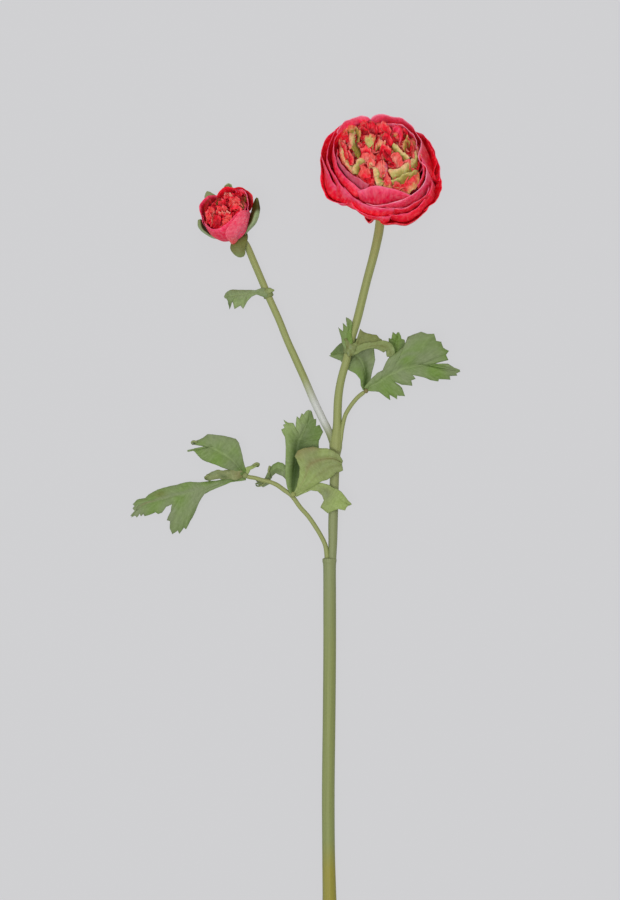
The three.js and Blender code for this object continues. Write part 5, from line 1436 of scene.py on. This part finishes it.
# The pieces
def build_stalks():
    lower_dyes = [(0, STALK_FOOT), (0.11, STALK_FOOT), (0.2, STALK_MOSS), (0.7, STALK_MOSS),
                  (1, STALK_LOW)]
    main_dyes = [(0, STALK_LOW), (0.12, STALK_LOW), (0.3, STALK), (0.75, STALK), (0.93, STALK_TIP),
                 (1, STALK_TIP)]
    bud_dyes = [(0, STALK_LOW), (0.07, STALK_LOW), (0.14, STALK_WHITISH), (0.22, STALK_WHITISH),
                (0.34, STALK), (1, STALK)]
    leaf_dyes = [(0, STALK), (1, STALK)]
    lower = tube(stops_of(LOWER_ROUTE), lower_dyes, painted_sheen=0.45)
    main = tube(stops_of(MAIN_ROUTE) + neck_stops(BLOOM, 6.3, 2.5), main_dyes)
    bud = tube(stops_of(BUD_BRANCH_ROUTE) + neck_stops(BUD, 5.3, 2.0), bud_dyes)
    left = tube(stops_of(LEFT_PETIOLE_ROUTE), leaf_dyes, 16)
    right = tube(stops_of(RIGHT_PETIOLE_ROUTE), leaf_dyes, 16)
    piece("lower_stalk_fine", [lower], ["lower_stem"], STALK_PLASTIC)
    piece("main_stalk_fine", [main], ["main_stem"], STALK_PLASTIC)
    piece("bud_stalk_fine", [bud], ["bud_branch"], STALK_PLASTIC)
    piece("left_leaf_stalk_fine", [left], ["left_petiole"], STALK_PLASTIC)
    piece("right_leaf_stalk_fine", [right], ["right_petiole"], STALK_PLASTIC)


# Curled tips of leaf teeth: stops of (pixel x, y, height), dark at the end
CURL_RADIUS = 0.75
TIP_CURLS = [
    [(197, 442.2, 10.6), (193.5, 441.2, 11), (191.6, 442.4, 11.4), (192.6, 444.2, 11.2),
     (194.6, 443.8, 10.8)],
    [(253, 465.3, 9.4), (256.5, 463.2, 10), (259, 464, 10.4), (258.3, 466.3, 10.2), (256.6, 466.6, 9.8)],
    [(209, 475.5, 11.4), (206, 476.5, 11), (205, 478.5, 10.4), (206.5, 479.8, 10)],
    [(212, 475.5, 11.4), (210, 477.5, 10.8), (209.5, 480.5, 10.2)],
]
INNER_CURLS = [
    [(268, 479, 6.5), (263, 482, 6.2), (258.5, 482, 6.2), (256.2, 480.4, 6.4)],
    [(266, 482, 6), (261, 485.5, 5.6), (257, 486, 5.6), (255.8, 484.2, 5.8)],
    [(270, 466, 8), (268.5, 471, 8.4), (270, 476, 8.2), (271.8, 478, 7.8)],
]

# The foot of the bract leaf, wrapped over the stalk: rows of (pixel x, y, height)
CLASP = [
    [(343.5, 341, 10.5), (346.5, 338.5, 12), (351.5, 345, 12.6), (355, 342.5, 12.5), (359, 341, 11.2)],
    [(343, 345.5, 10.5), (347, 344, 12.8), (351.5, 348, 13.2), (355.5, 346.5, 13), (358.5, 346.5, 11.6)],
    [(344.5, 350, 10.5), (347.5, 349.5, 12.9), (351, 351.5, 13.3), (354, 351, 12.8), (357, 350.5, 11.4)],
    [(346.5, 354.6, 10.4), (348.5, 355.3, 12.4), (350.5, 355.8, 12.6), (352.5, 355.3, 12.2),
     (354, 354.3, 11.2)],
]


def curls(lines):
    """Thin curled points, each tapering along its line."""
    surfaces = []
    dyes = [(0, LEAF_UNDER_OLIVE), (0.5, LEAF_UNDER_OLIVE), (1, LEAF_DEEP)]
    for line in lines:
        stops = [[*seen_at(*at), mix(CURL_RADIUS, 0.4 * CURL_RADIUS, k / (len(line) - 1))]
                 for k, at in enumerate(line)]
        surfaces.append(tube(stops, dyes, 10, 4, 0))
    return surfaces


def clasp():
    """The crumpled foot of the bract leaf, wrapped over the stalk."""
    seed = 21
    grid = wobble(patch([[seen_at(*at) for at in row] for row in CLASP], 26, 26), 2.4, 0.75, seed)
    shade = np.clip(0.5 + clouds(grid, 2.2), 0, 1)
    dye = gradient(shade, [(0, BRACT_OLIVE), (0.4, BRACT), (0.7, LEAF_UNDER_OLIVE), (1, LEAF_GREY)])
    return blade(grid, LEAF_THICKNESS, dye, dye, LEAF_UNDER_OLIVE, seed)


def tip_leaf():
    # the dark green patches on this leaf are painted shade
    upper = [(0.0, 0.0, 0.16, 1.0, LEAF_DEEP, 0.45), (0.5, -1.0, 0.4, 0.25, LEAF_GREY, 0.8)]
    edge_on = [(0.42, 0.3, 0.07, 0.5, LEAF_DEEP, 0.7), (0.0, 0.0, 0.2, 1.0, LEAF_BROWN, 0.8),
               (0.95, 0.2, 0.12, 1.0, LEAF_DEEP, 0.6), (0.65, -0.6, 0.1, 0.4, LEAF_GREY, 0.8)]
    lower = [(0.6, -0.12, 0.6, 0.22, LEAF_GREY, 0.9), (0.2, 0.3, 0.18, 0.6, LEAF_GREY, 0.8),
             (0.66, -0.55, 0.05, 0.3, SEPAL_OLIVE, 0.7), (0.85, -0.1, 0.12, 0.08, LEAF_BROWN, 0.7)]
    return [leaf_blade(TIP_LEAF_UPPER, 1, stains_and_shade=upper),
            leaf_blade(TIP_LEAF_EDGE_ON, 2, "under", ruffle=0.8, rough=1.1, tint=LEAF_DULL,
                       stains_and_shade=edge_on),
            leaf_blade(TIP_LEAF_LOWER, 3, stains_and_shade=lower, folds=[(-0.35, 0.1, -0.7), (0.25, 0.1, 0.5)]),
            leaf_blade(TIP_LEAF_CURL, 4, "under"),
            ball(seen_at(245.3, 475.5, 9.0), 2.0, LEAF_UNDER_OLIVE),
            *curls(TIP_CURLS)]


def inner_leaf():
    # the dark green patches on this leaf are painted shade
    tall = [(0.5, -0.8, 0.5, 0.45, LEAF_PALE, 0.7), (0.6, 0.6, 0.45, 0.6, LEAF_DEEP, 0.32),
            (0.12, 0.1, 0.16, 0.6, LEAF_DEEP, 0.95), (0.35, 0.1, 0.2, 0.25, LEAF_DEEP, 0.5)]
    front = [(0.6, -0.35, 0.5, 0.1, LEAF_BROWN, 0.75), (0.45, -1.0, 0.08, 0.25, LEAF_BROWN, 0.8),
             (0.6, -0.95, 0.08, 0.15, LEAF_BROWN, 0.7), (0.5, 0.35, 0.5, 0.12, BRACT_OLIVE, 0.5)]
    front_folds = [(-0.42, 0.1, -1.4), (-0.15, 0.12, 0.7), (0.3, 0.1, -0.7)]
    low = [(0.45, 0.3, 0.12, 0.6, LEAF_GREY, 0.7), (0.42, 0.0, 0.1, 0.3, BRACT_OLIVE, 0.5),
           (0.85, -0.1, 0.2, 0.6, LEAF_UNDER, 0.6)]
    return [leaf_blade(INNER_LEAF_TALL, 5, stains_and_shade=tall),
            leaf_blade(INNER_LEAF_FRONT, 6, "under", stains_and_shade=front, folds=front_folds),
            leaf_blade(INNER_LEAF_LOW, 7, "under", stains_and_shade=low, folds=[(-0.25, 0.12, -0.6)]),
            leaf_blade(INNER_LEAF_HOOK, 8, stains_and_shade=[(0.5, 0.6, 0.2, 0.4, LEAF_DEEP, 0.5)]),
            ball(seen_at(293, 494.5, 11.0), 1.8, STALK),
            *curls(INNER_CURLS)]


def right_leaf():
    main = [(0.3, -0.8, 0.2, 0.3, LEAF_GREY, 0.7), (0.7, -0.4, 0.1, 0.4, LEAF_GREY, 0.7),
            (0.45, -0.45, 0.25, 0.05, LEAF_GREY, 0.8), (0.15, 0.5, 0.15, 0.4, LEAF_TOP, 0.7)]
    # the dark green patches on this leaf are painted shade
    back = [(0.35, 0.8, 0.2, 0.3, LEAF_DEEP, 0.7), (0.75, 0.0, 0.25, 1.0, LEAF_TOP, 0.8)]
    behind = [(0.1, 0.1, 0.16, 0.8, LEAF_DEEP, 0.9), (0.3, 0.2, 0.2, 0.2, LEAF_DEEP, 0.5),
              (0.9, 0.6, 0.12, 0.6, LEAF_DEEP, 0.4)]
    return [leaf_blade(RIGHT_LEAF_MAIN, 9, stains_and_shade=main, folds=[(-0.45, 0.07, -0.9), (0.4, 0.08, -0.5)]),
            leaf_blade(RIGHT_LEAF_BACK, 10, stains_and_shade=back),
            leaf_blade(RIGHT_LEAF_BEHIND, 11, stains_and_shade=behind),
            ball(seen_at(366, 391, 9.4), 1.5, LEAF_BROWN)]


def stem_bract():
    lower = [(0.5, 0.2, 0.2, 0.5, BRACT_OLIVE, 0.6), (0.9, -1.0, 0.2, 0.3, LEAF_PALE, 0.9)]
    collar = [[*seen_at(348.4, 353.5, 8.6), 3.5], [*seen_at(350.9, 344, 8.6), 3.7]]
    return [leaf_blade(STEM_BRACT_TEETH, 12, rough=0.5),
            leaf_blade(STEM_BRACT_UPPER, 13, "under", rough=0.7, tint=BRACT_OLIVE),
            leaf_blade(STEM_BRACT_LOWER, 14, "under", rough=0.6, tint=BRACT, stains_and_shade=lower),
            clasp(),
            tube(collar, [(0, BRACT), (1, BRACT_OLIVE)])]


def bud_bract():
    # the dark green patch is painted shade
    stains_and_shade = [(0.5, 0.7, 0.3, 0.4, LEAF_PALE, 0.6), (0.8, 0.9, 0.06, 0.4, LEAF_DEEP, 0.6)]
    collar = [[*seen_at(268.9, 297, 7.9), 3.2], [*seen_at(265.9, 290, 7.75), 3.4]]
    return [leaf_blade(BUD_BRACT_BLADE, 15, tint=LEAF_GREY, stains_and_shade=stains_and_shade, folds=[(0.3, 0.15, 0.6)]),
            leaf_blade(BUD_BRACT_TIP, 16, "under"),
            tube(collar, [(0, BRACT), (1, BRACT)])]


def build_leaves():
    piece("left_tip_leaf_fine", tip_leaf(), ["left_tip_leaf"], LEAF_CLOTH)
    piece("left_inner_leaf_fine", inner_leaf(), ["left_inner_leaf"], LEAF_CLOTH)
    piece("right_leaf_fine", right_leaf(), ["right_leaf"], LEAF_CLOTH)
    piece("stem_bract_fine", stem_bract(), ["stem_bract"], LEAF_CLOTH)
    piece("bud_bract_fine", bud_bract(), ["bud_bract"], LEAF_CLOTH)


def build_flowers():
    piece("bloom_calyx_fine", bloom_calyx(), ["bloom_calyx"], LEAF_CLOTH)
    piece("bloom_petals_fine", bloom_petals(), ["bloom_petals"], PETAL_CLOTH)
    piece("bloom_heart_fine", bloom_heart(), ["bloom_heart"], HEART_CLOTH)
    piece("bud_calyx_fine", bud_calyx(), ["bud_calyx"], LEAF_CLOTH)
    piece("bud_petals_fine", bud_petals(), ["bud_petals"], PETAL_CLOTH)
    piece("bud_heart_fine", bud_heart(), ["bud_heart"], HEART_CLOTH)


# Floor, light and camera
FLOOR_GREY = (208, 208, 210)
FLOOR_SIZE = 6
FLOOR_BASE = 0.03  # albedo that takes the soft shadows; the rest of the floor's tone is its own light
FLOOR_LIT = 0.028  # the part of its tone that the lamps give it
SKY_STRENGTH = 0.42
LAMP_AIM = (0, 0.1, 0)
SENSOR_HEIGHT = 36


def build_stage():
    bpy.ops.mesh.primitive_plane_add(size=FLOOR_SIZE)
    floor = bpy.context.object
    floor.name = "floor"
    material = bpy.data.materials.new("floor")
    material.use_nodes = True
    surface = material.node_tree.nodes["Principled BSDF"]
    surface.inputs["Base Color"].default_value = (FLOOR_BASE, FLOOR_BASE, FLOOR_BASE, 1)
    surface.inputs["Roughness"].default_value = 1.0
    surface.inputs["Specular IOR Level"].default_value = 0.0
    surface.inputs["Emission Color"].default_value = (*linear(FLOOR_GREY) - FLOOR_LIT, 1)
    surface.inputs["Emission Strength"].default_value = 1.0
    floor.data.materials.append(material)


def area_light(name, place, size, watts):
    light = bpy.data.lights.new(name, "AREA")
    light.shape = "DISK"
    light.size = size
    light.energy = watts
    lamp = bpy.data.objects.new(name, light)
    lamp.location = place
    lamp.rotation_euler = (Vector(LAMP_AIM) - Vector(place)).to_track_quat("-Z", "Y").to_euler()
    bpy.context.scene.collection.objects.link(lamp)


def build_light():
    world = bpy.data.worlds.new("studio")
    world.use_nodes = True
    background = world.node_tree.nodes["Background"]
    background.inputs["Color"].default_value = (1, 1, 1, 1)
    background.inputs["Strength"].default_value = SKY_STRENGTH
    bpy.context.scene.world = world
    area_light("key", (-0.4, -0.25, 1.5), size=0.7, watts=11)
    area_light("fill", (0.3, 0.8, 1.4), size=0.9, watts=6)
    bpy.context.scene.view_settings.view_transform = "Standard"


def build_camera():
    camera = bpy.data.cameras.new("camera")
    camera.sensor_fit = "VERTICAL"
    camera.sensor_height = SENSOR_HEIGHT
    camera.lens = SENSOR_HEIGHT * (VIEW_HEIGHT - MIDDLE_HEIGHT) / (PHOTO_HEIGHT * MM_PER_PIXEL)
    eye = bpy.data.objects.new("camera", camera)
    eye.location = (np.array([0, 0, VIEW_HEIGHT]) + SHIFT) * METRES_PER_MM
    bpy.context.scene.collection.objects.link(eye)
    bpy.context.scene.camera = eye


build_camera()
build_stalks()
build_leaves()
build_flowers()
build_stage()
build_light()
